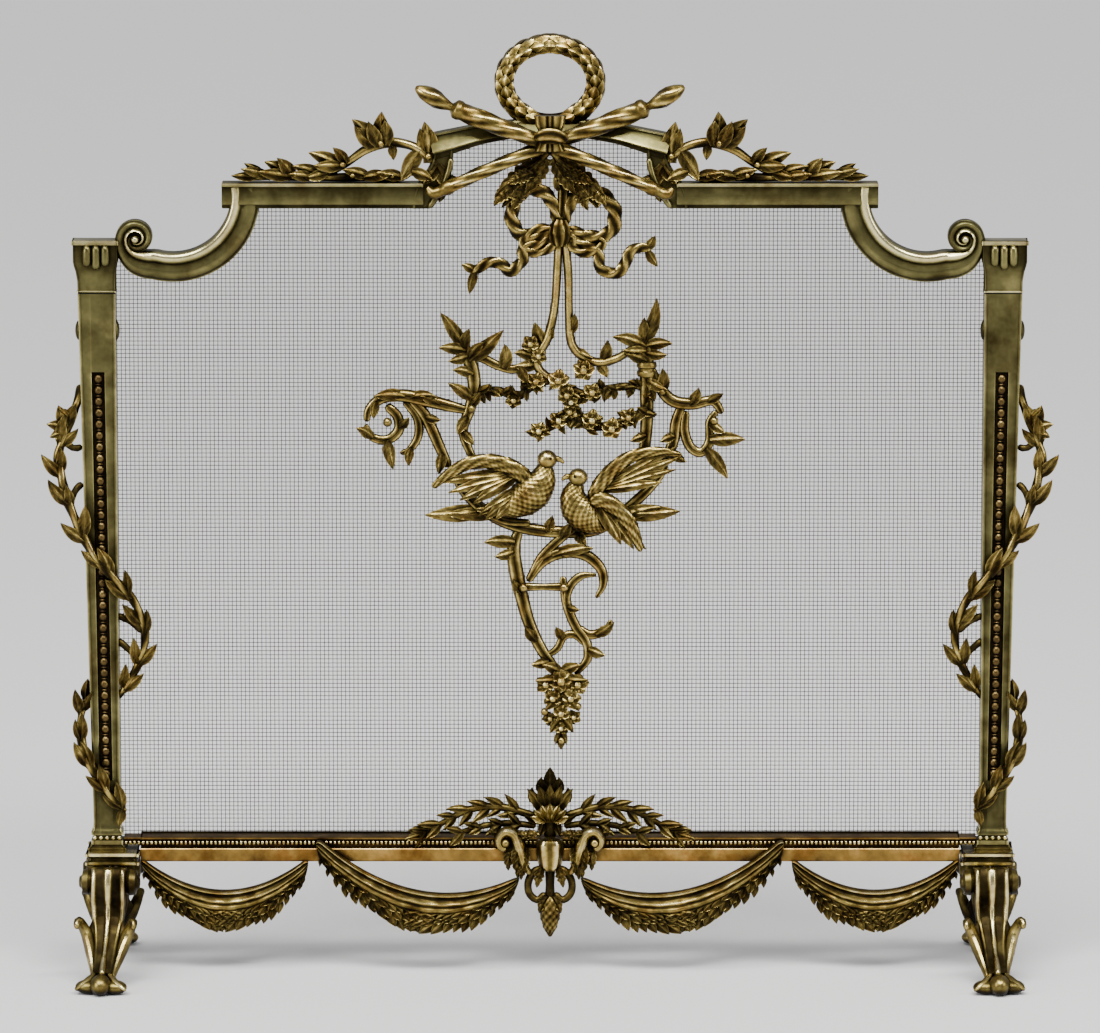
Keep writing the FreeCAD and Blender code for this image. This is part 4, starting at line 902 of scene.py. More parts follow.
# Torch: flame bulb, notch, collar, tapering shaft, twisted handle and curled end
def makeTorch(y):
    return [turned(based(torch["route"], z=archTop), torch["radii"], y, torch["flute"],
                   torch["flutes"], torch["twist"], around=26, step=1.2, tone=0.5)]


# Knot of pleated ribbon, fold = 0.9 cos(5 pi s), waisted where a twisted band ties it
def makeKnot(y):
    spread = np.linspace(-1, 1, 13)
    t = np.linspace(0, 1, 16)[:, None]
    shells = []
    s = np.r_[spread, spread[::-1]][None]
    front = np.arange(26) < 13
    width = np.interp(t, [0, 0.25, 0.55, 0.8, 1], [11.5, 10.5, 7.0, 8.5, 11])
    fold = np.cos(5 * math.pi * s) * 0.9
    across = np.where(front, y - 1.2 - 2.4 * np.sqrt(1 - 0.9 * s ** 2) - fold, y + 2.6) + 0 * t
    grid = np.stack([s * width, across, archTop + 4.5 - 25 * t + 0 * s], -1)
    shells.append(shell(grid, np.where(front, 0.5 + 0.3 * np.cos(5 * math.pi * s), 0.3) + 0 * t))
    band = [(-10.5, y - 1, archTop - 11.5), (-5, y - 4.5, archTop - 9.5), (2, y - 5.5, archTop - 9),
            (8, y - 4, archTop - 11), (11, y, archTop - 14)]
    shells.append(bar(band, [4, 5.2, 5.6, 5, 3.6], flat=0.55, strands=5, ridge=0.09, around=26,
                      step=1.6, tone=0.4))
    return shells


torchFrontY = boxOf("torch_left")[0][1] + 7.5
torchRearY = torchFrontY + 4.6
addCast("wreath", makeWreath())
addCast("torch_left", makeTorch(torchFrontY))
addCast("torch_right", mirrored(makeTorch(torchRearY)))
addCast("ribbon_knot", makeKnot(boxOf("ribbon_knot")[1][1] - 1))


laurel = {"y": -1.5, "leaf": {"thick": 2.6, "vein": 0.35}}


# Laurel branch on a shoulder: stem, buds at its joints, leaves lying on the rail
def makeLaurel():
    stem = [(74, 6), (80, 13), (92, 23), (104, 27.5), (116, 28), (131, 23), (147, 12), (166, 4.5),
            (195, 3.6), (222, 3.4)]
    under = [(90, 21), (97, 14), (101, 6), (112, 3), (130, 3.4), (150, 3.4), (168, 3)]
    y, z = laurel["y"], shoulderTop
    shells = [bar(based(stem, z=z), [3.4, 3.6, 3.4, 3.2, 2.8, 2.4, 2], y, tone=0.42, strands=2,
                  lay=0.12, ridge=0.1),
              bar(based(under, z=z), [2.6, 3.2, 3.4, 3, 3, 2.4], y, tone=0.3, strands=2,
                  lay=0.2, ridge=0.1)]
    rows = [(85, -2, 14, 88, 30, 15, 5, -10), (86, -1, 18, 108, 20, 9, 5, -25),
            (87, -2, 20, 64, 20, 9, 5, 20), (92, -2, 23, -52, 25, 12, 4, -10),
            (96, -1, 22, -84, 16, 9, 2, 20), (80, -3, 12, -58, 16, 9, 4, 10),
            (121, -1, 26, 52, 27, 13, 3, -12), (119, -3, 27, 82, 24, 13, 4, 14),
            (122, -2, 26, 28, 22, 12, 4, 24), (117, -4, 27, 104, 18, 11, 3, -26),
            (121, -5, 26, 64, 20, 10, 5, 6),
            (112, -1, 27, -96, 11, 7, 2, 0), (148, -1, 12, 28, 25, 11, 3, -10),
            (148, -3, 12, -4, 20, 9, 4, 10), (144, -3, 14, 60, 15, 8, 3, -20),
            (180, -1, 4, 34, 25, 11, 3, -14), (182, -3, 4, 62, 18, 10, 4, -20),
            (184, -3, 4, 10, 24, 9, 4, 0), (162, -2, 6, 22, 22, 9, 4, -10),
            (158, -3, 7, -18, 16, 8, 3, 10), (198, -3, 4, 20, 22, 8, 4, -6),
            (203, -1, 4, 46, 17, 7, 2, -20), (208, -3, 4, 4, 18, 7, 3, 0),
            (104, -3, 4, 14, 20, 9, 4, -8), (132, -3, 4, 168, 20, 9, 4, 10),
            (128, -2, 4, 24, 20, 9, 4, -14), (168, -4, 4, 8, 18, 8, 3, 0),
            (98, -4, 8, 190, 16, 9, 4, 20), (80, -3, 12, 236, 20, 10, 4, 20),
            (75, -4, 3, 198, 13, 8, 4, -30), (77, -3, -2, 262, 12, 8, 3, 30)]
    shells.append(leaves(based(rows, y=y, z=z), **laurel["leaf"]))
    berries = [(120, -5, 28, 2.6), (86, -5, 19, 2.4), (147, -5, 13, 2.2),
               (181, -5, 6, 2.2), (112, -4, 5, 2.4), (140, -4, 5, 2.2),
               (212, -3, 5, 2.0)]
    return shells + [balls(based(berries, y=y, z=z), tone=0.6)]


addPair("laurel_branch", makeLaurel())


# Feather sprays under the torches: lobed leaves with a rib, lying one over the next
def makeSpray():
    rows = [(-4, -5, -28, -134, 46, 14, 3, 6), (-6, -6, -28, -150, 42, 12, 4, 16),
            (-2, -5, -28, -116, 30, 12, 3, -12), (-24, -7, -46, -152, 22, 12, 5, 30),
            (-20, -7, -48, -108, 18, 10, 4, -10), (-12, -8, -38, -168, 20, 10, 4, 20)]
    stem = bar(based([(-1, -22), (-13, -36), (-28, -52)], z=archTop), [3.4, 3, 2], -4, tone=0.4)
    return [stem, leaves(based(rows, z=archTop), lobes=6, thick=2.6, vein=0.5, rings=21,
                         tone=0.34)]


addCast("feather_spray_left", makeSpray())
addCast("feather_spray_right", mirrored(makeSpray()))
print("crest made")


vine = {"stem": {"tone": 0.42, "strands": 2, "lay": 0.22, "ridge": 0.12},
        "leaf": {"thick": 2.4, "vein": 0.35}}


# Vine: a leafy stem crossing the post's front, tied back to the post by short links
def makeUpperVine():
    x, z = innerHalf, seamLevel
    route = based([(24.5, -1, -67), (28, -2, -79), (32.5, -3, -91), (37.5, -4, -104),
                   (42, -5, -118), (40, -6, -132), (36, -9, -148), (30, -10, -163),
                   (20, -11.4, -184), (7, -11.4, -201), (-8, -9, -218), (-18, -4, -240),
                   (-17, -3, -262), (-6, -3, -284), (2, -2, -295)], x, z=z)
    links = [[(37, -4, -108), (31, -2, -113), (25, -1, -112)],
             [(34, -8, -152), (30, -5, -143), (25, -3, -138)],
             [(-17, -4, -246), (-9, -3, -239), (1, -3, -234)],
             [(-15, -4, -270), (-10, -3, -262), (1, -3, -252)]]
    tip = [(0.125, 62, 17, 11, 3, 10), (0.13, 24, 15, 9, 3, -20), (0.115, 96, 15, 9, 3, 20),
           (0.14, -8, 12, 8, 2, -20), (0.1, 40, 12, 8, 4, 0)]
    shells = [bar(route, [3.6, 3.0, 3.6, 3.4, 3.2, 3.0, 2.8, 2.4], **vine["stem"])]
    shells += [bar(based(link, x, z=z), [2.8, 2.4, 2.8], tone=0.25) for link in links]
    return shells + [sprouts(route, pairs(9, 0.17, 0.97, 150, 21, 8.5, 5), fromStem=True,
                             **vine["leaf"]), sprouts(route, tip, **vine["leaf"])]


# The vine's lower end, from the post's side across its front to the plinth
def makeLowerVine():
    route = based([(24.5, -1, -296), (28, -5, -310), (27, -9, -326), (21, -12, -342),
                   (10, -12.2, -360), (-4, -9, -377)], innerHalf, z=seamLevel)
    return [bar(route, [2.2, 3.2, 3.2, 2.8, 2], **vine["stem"]),
            sprouts(route, pairs(5, 0.1, 0.96, 152, 19, 8, 9), fromStem=True, **vine["leaf"]),
            sprouts(route, [(0.0, 92, 16, 8, 2, 10), (0.97, -75, 12, 7, 3, 0)], thick=2.4)]


addPair("vine_upper", makeUpperVine())
addPair("vine_lower", makeLowerVine())
print("vines made")


palmette = {"ribs": 7, "ribSpread": 60, "petals": 5, "petalSpread": 27}


# Shell over the rail: a scalloped bowl of short ribs, tall petals behind it, a dark crown on top
def makeShell():
    ribs = [(0.07 * h, -12.5, 13, 90 - h, 14 - 0.001 * h * h, 6.5, 2, -0.3 * h)
            for h in np.linspace(-palmette["ribSpread"], palmette["ribSpread"], palmette["ribs"])]
    fan = np.linspace(-palmette["petalSpread"], palmette["petalSpread"], palmette["petals"])
    petals = [(0.16 * h, -6.5, 18, 90 - h, 22, 8.5, 4, -0.4 * h) for h in fan]
    crown = [(-4, -6, 32, 122, 13, 9, 3, -40), (4, -6, 32, 58, 13, 9, 3, 40),
             (0, -6, 34, 90, 18, 10, 3, 0), (-8, -6, 25, 150, 14, 8, 4, -70),
             (8, -6, 25, 30, 14, 8, 4, 70)]
    base = [(-3, -6, 14, 200, 17, 8, 4, -60), (3, -6, 14, -20, 17, 8, 4, 60),
            (-3, -6, 14, 250, 14, 7, 3, 0), (3, -6, 14, -70, 14, 7, 3, 0)]
    ribs, petals, leafy = (based(rows, z=railTop) for rows in (ribs, petals, crown + base))
    cup = balls([(0, -9, railTop + 17.5, 10, 5.5, 6.5)], 13, 24, tone=0.6)
    stalk = bar(based([(0, -2), (0, 8), (0, 18)], z=railTop), [5, 4, 5], -5, tone=0.25)
    return [leaves(ribs, thick=3.2, rings=13, tone=0.85), cup, stalk,
            leaves(petals, thick=2.6, cup=0.3, vein=0.2, tone=0.4),
            leaves(leafy, thick=2.4, vein=0.3, tone=0.22)]


# Bracket beside the boss: a volute on the rail, its tail dropping as a lobed leaf
def makeAcanthus():
    y = railLow[1] - 3.6
    volute = [(31, -8), (35.5, -5), (36.5, 1), (32, 5.5), (26, 3.5), (23, -3), (21, -11), (18, -20),
              (13.5, -26)]
    shells = [bar(based(volute, z=railTop), [2.4, 3.0, 3.7, 4.2, 4.4, 4.4, 4.0, 3.2, 1.8],
                  y - 1, tone=0.45, keel=0.4, step=1.6, groove=0.25),
              balls([(32, y - 3, railTop - 2.5, 3.2, 3, 3.2)], 9, 12, tone=0.65)]
    rows = [(24, 0, -2, -100, 26, 12, 4, 16), (20, -1, 2, 150, 13, 8, 3, 40),
            (27, 0, -6, -64, 17, 9, 3, -30), (17, -2, -6, -80, 17, 8, 4, -10),
            (34, 1, 3, 28, 11, 8, 3, -30), (21, -3, -4, -52, 15, 8, 4, -30),
            (16, -3, -16, -48, 14, 7, 3, -40), (26, -3, 4, 170, 12, 7, 4, 30)]
    return shells + [leaves(based(rows, y=y, z=railTop), lobes=5, thick=2.5, vein=0.5, rings=17,
                            tone=0.34)]


# Boss on the rail, two open loops under it and a ribbed cone hanging between them
def makePendant():
    y = railLow[1] - 3
    boss = turned(based([(0, 1), (0, -8), (0, -17), (0, -24)], z=railTop),
                  [[0, 4], [0.06, 8.6], [0.16, 9.8], [0.5, 9.4], [0.8, 8], [0.95, 6], [1, 2.5]],
                  y, 0.05, 6, 0, 26, 1.4, 0.6, 0.9)
    stem = bar(based([(0, -20), (0, -36), (0, -48)], z=railTop), [4, 3.2, 4], y + 1, tone=0.25)
    cone = turned(based([(0, -42), (0, -48), (0, -60), (0, -72)], z=railTop),
                  [[0, 3], [0.12, 5.4], [0.3, 7.4], [0.5, 7.2], [0.8, 4.6], [1, 1]], y, 0.1, 8,
                  1.1, 32, 1.0, 0.38, 0.8, scaled=True)
    wrap = [(-6, -3, -21, 250, 14, 8, 3, 10), (6, -3, -21, -70, 14, 8, 3, -10),
            (-2, -2, -42, -130, 13, 8, 3, 24), (2, -2, -42, -50, 13, 8, 3, -24)]
    shells = [boss, stem, cone, leaves(based(wrap, y=y, z=railTop), lobes=4, thick=2.4, vein=0.4,
                                       rings=15, tone=0.34)]
    for side in (-1, 1):
        ring = [(side * 4, -22), (side * 11, -24), (side * 15.5, -31), (side * 15, -40),
                (side * 9, -45), (side * 3, -40)]
        shells.append(bar(based(ring, z=railTop), [3.4, 3, 2.8, 2.8, 2.8], y, tone=0.32, step=2))
    return shells


railSpray = {"y": -5.0, "leaf": {"thick": 2.2, "vein": 0.3, "tone": 0.38}}


# Two leafy stems lying over each other on the rail
def makeRailSpray():
    y, leaf = railSpray["y"], railSpray["leaf"]
    route = based([(92, 2.6), (76, 11), (58, 20), (36, 22), (10, 15)], z=railTop)
    low = based([(66, 3), (48, 8), (30, 10), (10, 8)], z=railTop)
    return [bar(route, [1.6, 2.4, 2.8, 3, 3], y, tone=0.35),
            sprouts(route, pairs(7, 0.05, 0.86, 144, 15, 5.6, 12, 3.5), y, True, **leaf),
            bar(low, [1.8, 2.4, 2.6, 2.4], y, tone=0.28),
            sprouts(low, pairs(4, 0.05, 0.8, 146, 12, 5.4, 21, 4), y - 1, True, **leaf),
            sprouts(route, [(0, -22, 13, 6, 2, 10), (0.02, 20, 12, 6, 2, -20)], y, thick=2.0)]


swag = {"leavesAcross": 24, "leafTurn": 8, "roundedEnd": 0.07,
        "leaf": {"thick": 2.2, "rings": 9, "vein": 0.25, "tone": 0.33}}


# Swag: crescent of cloth folds, z = edge(t) - height(t) s with s across, relief from three raised
# folds, then leaves laid along the lower half and pointing to its middle
def makeSwag(start, end, sag, depth, y, ends):
    def crescent(t):                  # both ends are rounded off
        hang = 4 * t * (1 - t)
        edge = start[1] + (end[1] - start[1]) * t - sag * hang
        tip = ends[0] + (ends[1] - ends[0]) * t
        height = tip + (depth - sag - tip) * hang ** 0.62
        near = np.clip(np.abs(2 * t - 1) - 1 + swag["roundedEnd"], 0, 1) / swag["roundedEnd"]
        cap = np.sqrt(np.clip(1 - near ** 2, 0.02, 1))
        return hang, edge - 0.35 * (1 - cap) * height, height * cap

    t = 0.5 - 0.5 * np.cos(np.linspace(0, math.pi, 120))[:, None]
    hang, edge, height = crescent(t)
    x = start[0] + (end[0] - start[0]) * t
    s = np.linspace(0, 1, 33)[None]
    folds = (np.exp(-((s - 0.07) / 0.07) ** 2) + 0.95 * np.exp(-((s - 0.32) / 0.07) ** 2)
             + 0.7 * np.exp(-((s - 0.52) / 0.08) ** 2))
    relief = 1.6 + 2.6 * np.sin(math.pi * np.clip(s, 0.02, 0.98)) ** 0.6 + 2.4 * folds
    relief = relief * (0.6 + 0.4 * hang ** 0.5) + 0.25 * np.sin(60 * t + 9 * s) * (s > 0.15)
    z = edge - height * s * (1 + 0.05 * np.sin(44 * t) * s ** 3)
    front = np.stack([x + 0 * s, y - relief, z], -1)
    back = np.stack([x + 0 * s, y + 1.5 + 0 * relief, z], -1)[:, ::-4]
    wear = np.concatenate([0.06 + 0.66 * folds + 0 * t, 0.2 + 0 * t + 0 * s[:, ::-4]], 1)
    shells = [shell(np.concatenate([front, back], 1), wear)]
    m = swag["leavesAcross"]
    row = np.repeat([0.0, 1.0, 2.0], m)
    share = np.clip(np.tile(np.linspace(0.03, 0.97, m), 3) + (row - 1) * 0.014, 0.02, 0.98)
    hang, edge, height = crescent(share)
    z = edge - height * (0.56 + 0.16 * row)
    inward = np.where(share < 0.5, 1, -1)
    fall = (end[1] - start[1]) - (sag + 8) * 4 * (1 - 2 * share)
    slope = np.degrees(np.arctan2(fall, end[0] - start[0]))
    heading = np.where(inward > 0, slope, slope + 180) - inward * (swag["leafTurn"] + 14 * row)
    heading = heading + 9 * np.sin(13 * share + 4 * row)
    length = (5 + 8 * hang) * (1 + 0.15 * np.sin(29 * share + row))
    rows = np.stack([start[0] + (end[0] - start[0]) * share, y - 2.6 + 0.5 * row, z, heading,
                     length, 0.62 * length, 0 * z + 2.2, -8 * inward], 1)
    return shells + [leaves(rows, **swag["leaf"])]


swagOuter = makeSwag((174, railFoot + 3), (plinthLow[0] - 0.5, railFoot + 3), 24, 48,
                     frontFace - 1, (11, 7))
swagInner = makeSwag((22, railTop - 27), (168, railTop + 2), 25, 50, railLow[1] - 4, (5, 15))
addCast("palmette_shell", makeShell())
addPair("acanthus", makeAcanthus())
addCast("pendant_drop", makePendant())
addPair("rail_spray", makeRailSpray())
addPair("swag_outer", swagOuter)
addPair("swag_inner", swagInner)
print("rail ornament made")


# Hanging trophy: z is measured down from the arch's underside

# Points or rows measured from the underside of the arch
def hung(rows):
    return based(rows, z=archUnder)


twist = {"flat": 0.8, "strands": 3, "lay": 0.5, "ridge": 0.16, "tone": 0.45}


# Crinkled ribbon: a flattened bar of three turning strands
def ribbon(points, radii, y=-1.0):
    return bar(hung(points), radii, y, step=1.4, around=18, **twist)


trophy = {"flat": 0.85, "groove": 0.3, "leafThick": 2.5}


# Grooved bars lying over each other by turns, each with the leaves that grow from it
def scrolls(lines, levels, leafY, tone=0.4, vein=0.4):
    shells = [bar(hung(points), radii, levels[k % len(levels)], flat=trophy["flat"],
                  groove=trophy["groove"], step=2, tone=tone)
              for k, (points, radii, rows) in enumerate(lines)]
    return shells + [sprouts(hung(points), rows, leafY, thick=trophy["leafThick"], vein=vein)
                     for points, radii, rows in lines if rows]


# Bow: four ribbon loops and a streamer round a fluted knot, hung from a grooved stalk
def makeBow():
    left = [(6, -64), (1, -47), (-9, -39), (-20, -41), (-27, -53), (-24, -68), (-11, -73), (4, -67)]
    right = [(10, -64), (15, -48), (26, -40), (38, -43), (46, -55), (43, -69), (31, -73), (12, -67)]
    lowLeft = [(5, -69), (-5, -66), (-16, -71), (-19, -79), (-10, -84), (2, -79), (7, -70)]
    lowRight = [(9, -69), (17, -72), (16, -80), (27, -84), (38, -77), (31, -70)]
    top = [(12, -29), (21, -34), (31, -37), (38, -43), (32, -52)]
    stalk = [(10, -2), (10, -20), (9.5, -42), (8, -64)]
    shells = [ribbon(left, [3.4, 4.8, 5, 5, 4.8, 3.4]), ribbon(right, [3.4, 4.8, 5, 5, 4.8, 3.4]),
              ribbon(lowLeft, [2.6, 3.4, 3.4, 2.6], -2.5),
              ribbon(lowRight, [2.6, 3.4, 3.4, 2], -2.5), ribbon(top, [2, 3, 3, 2], 0),
              bar(hung(stalk), [3, 4.4, 4.2, 3.2], -0.5, tone=0.32, groove=0.35)]
    leaf = leaves(hung([(9, -3, -22, 78, 18, 9, 2, 10), (9, -3, -24, 112, 16, 8, 2, -10),
                        (9, -3, -40, 60, 14, 8, 3, 20), (9, -3, -40, 124, 14, 8, 3, -20)]),
                  thick=2.2, vein=0.3, tone=0.34)
    knot = turned(hung([(7.5, -60), (7, -68), (6.5, -79)]),
                  [[0, 4], [0.2, 6.6], [0.5, 7.4], [0.8, 6.4], [1, 4]], -3.5, 0.1, 7, 0.1, 28, 1.2,
                  0.3, 0.8)
    return shells + [leaf, knot]


# Ribbon tails, each waved outwards to a forked end
def makeTails():
    left = ribbon([(2, -72), (-8, -78), (-18, -80), (-20, -90), (-28, -97), (-37, -91), (-45, -92),
                   (-56, -98)], [3, 4, 4, 4.2, 4, 3.2], -2)
    right = ribbon([(12, -72), (26, -79), (34, -83), (35, -93), (43, -99), (52, -95), (56, -85),
                    (64, -80), (72, -82)], [3, 4, 4, 4.2, 4, 3.2], -2)
    forks = ([(-53, -3, -97, 148, 11, 7, 1, 10), (-53, -3, -97, 248, 17, 7, 1, 14)],
             [(69, -3, -81, 48, 11, 7, 1, 20), (69, -3, -82, -66, 14, 7, 1, 16)])
    return [left, leaves(hung(forks[0]))], [right, leaves(hung(forks[1]))]


# Two keeled straps from the bow to the scrolls, with leaves and three blossoms
def makeStraps():
    left = hung([(6, -76), (5, -100), (3, -125), (-2, -146), (-9, -158), (-8, -168), (2, -176)])
    right = hung([(11, -76), (13, -100), (13.5, -128), (15, -148), (22, -158), (34, -163),
                  (48, -160), (60, -152)])
    shells = [bar(left, [3, 3.2, 3, 3.4, 3.6, 3], -1, tone=0.4, keel=0.15),
              bar(right, [3, 3.2, 3, 3.2, 3.4, 3.4, 2.6], -1, tone=0.4, keel=0.15),
              sprouts(left, [(0.7, 128, 18, 10, 3, -30), (0.8, 150, 17, 9, 3, 30),
                             (0.84, 200, 16, 9, 3, -30), (0.66, 60, 10, 7, 3, 0)], -1, thick=2.4,
                      vein=0.4),
              sprouts(right, [(0.52, 60, 15, 8, 3, 30), (0.62, -40, 14, 8, 3, 30),
                              (0.8, 62, 17, 9, 3, 30), (0.78, -60, 12, 8, 3, 0)], -1, thick=2.4,
                      vein=0.4)]
    return shells + rosettes(hung([(-14, -5, -149, 6.5), (-8, -5, -158, 6), (24, -5, -166, 6.5)]))


# Scrolled side of the trophy: grooved bars, each with the leaves that grow from it
def makeTrophyLeft():
    lines = [([(-62, -150), (-56, -166), (-54, -182), (-57, -196), (-62, -212), (-58, -226),
               (-53, -236)], [4.6, 5.2, 5, 4.4, 3.8, 3.4, 2.6],
              [(0.02, 118, 30, 10, 3, 10), (0.05, 164, 19, 9, 3, 16), (0.03, 88, 15, 8, 3, -20),
               (0.1, 204, 14, 8, 3, -20), (0.14, 38, 33, 11, 4, 10), (0.12, 62, 17, 8, 4, -24),
               (0.25, 150, 15, 8, 3, 30), (0.45, 138, 21, 9, 3, 14), (0.5, 44, 12, 7, 3, 20),
               (0.6, 230, 14, 8, 3, 20), (0.72, -50, 12, 7, 3, 0)]),
             ([(-58, -198), (-74, -194), (-90, -190), (-106, -187), (-120, -189), (-129, -197),
               (-131, -206)], [3, 4.4, 5, 5, 4.4, 3.8, 2.4],
              [(0.55, 168, 22, 10, 3, 20), (0.5, 20, 18, 8, 3, -30), (0.25, 150, 15, 8, 3, 10),
               (0.8, 250, 12, 7, 3, 20)]),
             ([(-117, -194), (-109, -202), (-108, -212), (-116, -219), (-127, -217), (-132, -208)],
              [3.4, 3.8, 4, 3.6, 3.2, 2],
              [(0.6, -84, 21, 9, 3, 10), (0.8, 130, 14, 8, 3, 30), (0.35, 30, 10, 7, 2, 30)]),
             ([(-100, -189), (-90, -200), (-84, -212), (-78, -226), (-72, -239)],
              [3, 4.2, 4.4, 4, 3.2], [(0.8, -100, 15, 8, 2, 0), (0.3, -20, 11, 7, 3, 20)]),
             ([(-104, -191), (-95, -203), (-94, -216), (-100, -226), (-107, -229)],
              [2.4, 3.2, 3.4, 3, 1.8], [(0.8, -120, 13, 7, 2, 40)]),
             ([(-60, -156), (-48, -160), (-38, -165), (-26, -168), (-14, -164), (-6, -160)],
              [3.2, 3.6, 3.4, 3.4, 3.2, 2.4], [(0.5, 66, 18, 10, 4, 40), (0.7, -60, 12, 8, 3, 0)])]
    shells = scrolls(lines, (-0.5, -1.0), -2.0)
    return shells + [balls(hung([(-116, -3, -206, 3.4), (-56, -5, -196, 3)]), tone=0.5)]


# The other side differs: one upright, one long tendril and a turned collar
def makeTrophyRight():
    lines = [([(68, -146), (69, -164), (69, -184), (69, -206), (67, -228), (62, -244)],
              [4.8, 5.4, 5.2, 4.8, 4.2, 3],
              [(0.02, 62, 33, 10, 3, 26), (0.03, 104, 19, 9, 3, -20), (0.05, 20, 19, 9, 3, -24),
               (0.05, 150, 25, 10, 4, 24), (0.09, 186, 17, 9, 4, -20), (0.1, -20, 15, 8, 3, 30),
               (0.16, 150, 16, 9, 3, 20), (0.3, -40, 16, 8, 3, 30), (0.5, 215, 14, 8, 3, 30),
               (0.7, 200, 12, 7, 3, 0)]),
             ([(70, -164), (79, -182), (88, -191), (102, -193), (116, -191), (123, -200)],
              [3.2, 4, 4.6, 4.6, 3.8, 2.6],
              [(0.3, 74, 17, 9, 3, 30), (0.62, 48, 14, 8, 3, 30), (0.8, 30, 12, 7, 3, 0)]),
             ([(94, -194), (90, -206), (88, -220), (82, -234), (74, -246)],
              [3.4, 4.2, 4.2, 3.6, 2.4], [(0.6, -44, 14, 8, 3, 20), (0.4, 190, 11, 7, 3, 20)]),
             ([(97, -198), (96, -212), (100, -224), (108, -228), (114, -220), (114, -206),
               (119, -198)], [2.8, 3.6, 3.8, 3.6, 3.6, 3.2, 2.2],
              [(0.68, 8, 25, 11, 3, -10), (0.58, -46, 26, 10, 3, -14), (0.85, -30, 13, 7, 3, 0)])]
    collar = turned(hung([(69, -162), (69, -168), (69, -174)]),
                    [[0, 4], [0.1, 7], [0.35, 7.4], [0.5, 5.5], [0.65, 7.4], [0.9, 7], [1, 4]],
                    -0.5, around=22, step=1, tone=0.5, squash=0.85)
    return scrolls(lines, (-0.5, -1.0), -2.0) + [
        collar, balls(hung([(117, -3, -205, 3.2), (80, -4, -184, 2.8)]), tone=0.5)]


garland = {"leafPitch": 2.4, "leafSize": 7.0, "scatter": 1.5, "stem": [2.6, 3.2, 3.2, 2.6]}


# Garland: blossoms and leaves strewn along a line, by a seeded draw
def makeGarland(points, blossoms, seed, y):
    draw = np.random.default_rng(seed)
    path, s = stepped(hung(points), 2.0, y)
    size, stray = garland["leafSize"], garland["scatter"]
    shells = [bar(hung(points), garland["stem"], y + 1, tone=0.25)]
    m = int(s[-1] / garland["leafPitch"])
    at = path[(np.linspace(0.02, 0.98, m) * (len(path) - 1)).astype(int)]
    rows = np.stack([at[:, 0] + draw.uniform(-stray, stray, m), at[:, 1] - draw.uniform(0, 2, m),
                     at[:, 2] + draw.uniform(-stray, stray, m), draw.uniform(0, 360, m),
                     draw.uniform(0.9, 1.4, m) * size, draw.uniform(0.6, 0.9, m) * size,
                     draw.uniform(1, 3, m), draw.uniform(-40, 40, m)], 1)
    return shells + [leaves(rows, rings=9, tone=0.34)] + rosettes(hung(blossoms))


dove = {"y": -7.0, "feather": {"thick": 1.8, "vein": 0.45, "rings": 17}, "featherLift": 2.0,
        "scaleRelief": 0.05, "scalesRound": 12, "scaleStep": 1.5}


# Feathers fanned from one root, each a little over the one before
def featherFan(root, headings, lengths, width, y, curl, tone):
    rows = [(root[0] + 0.18 * i * math.cos(math.radians(h)), y - 0.5 * i, archUnder + root[1], h,
             length, width, dove["featherLift"], curl)
            for i, (h, length) in enumerate(zip(headings, lengths))]
    return leaves(rows, tone=tone, **dove["feather"])


# Scaled breast, round head, beak and eye
def doveBody(line, radii, head, beak, eye):
    y = dove["y"]
    return [turned(hung(line), radii, y, dove["scaleRelief"], dove["scalesRound"],
                   dove["scaleStep"], 48, 0.9, 0.5, 0.8, scaled=True),
            balls(hung([head]), 13, 20, tone=0.6),
            bar(hung(beak), [2.8, 2, 0.9], y - 1, tone=0.6, step=1),
            balls(hung([eye]), 5, 7, tone=0.1)]


# Thick leading edge of a wing, finely twisted like rows of small feathers
def wingEdge(points, radii, y, flat=0.6):
    return bar(hung(points), radii, y, flat=flat, tone=0.5, strands=6, lay=0.5, ridge=0.07,
               around=20)


# Dove looking right, its raised wing spread behind it
def makeDoveLeft():
    y = dove["y"]
    body = doveBody([(-36, -271), (-26, -266), (-14, -257), (-6, -247), (-3, -236)],
                    [[0, 3], [0.16, 8], [0.36, 12.4], [0.58, 13.6], [0.78, 10.6], [0.92, 7],
                     [1, 5]], (-2, y - 1, -232, 7.2, 6.6, 6.8),
                    [(3, -231), (7.5, -232.5), (10, -235)], (0.5, y - 7, -230.5, 1.1))
    wing = [(-12, -254), (-22, -241), (-38, -234), (-56, -234), (-72, -242), (-84, -252)]
    sheath = hung([(-66, -252), (-50, -268), (-32, -277), (-14, -279)])
    return body + [
        wingEdge(wing, [5.4, 6.2, 5.8, 5, 4, 2.2], y - 3),
        featherFan((-22, -243), (181, 190, 199, 208), (58, 52, 46, 38), 10, y - 1, 8, 0.44),
        featherFan((-16, -252), (203, 211, 219), (40, 38, 32), 10, y - 3.5, 12, 0.36),
        bar(sheath, [2.4, 3.6, 3.6, 2.6], y + 4, tone=0.4, groove=0.3),
        featherFan((-26, -264), (196, 206), (28, 24), 10, y + 1, -14, 0.36)]


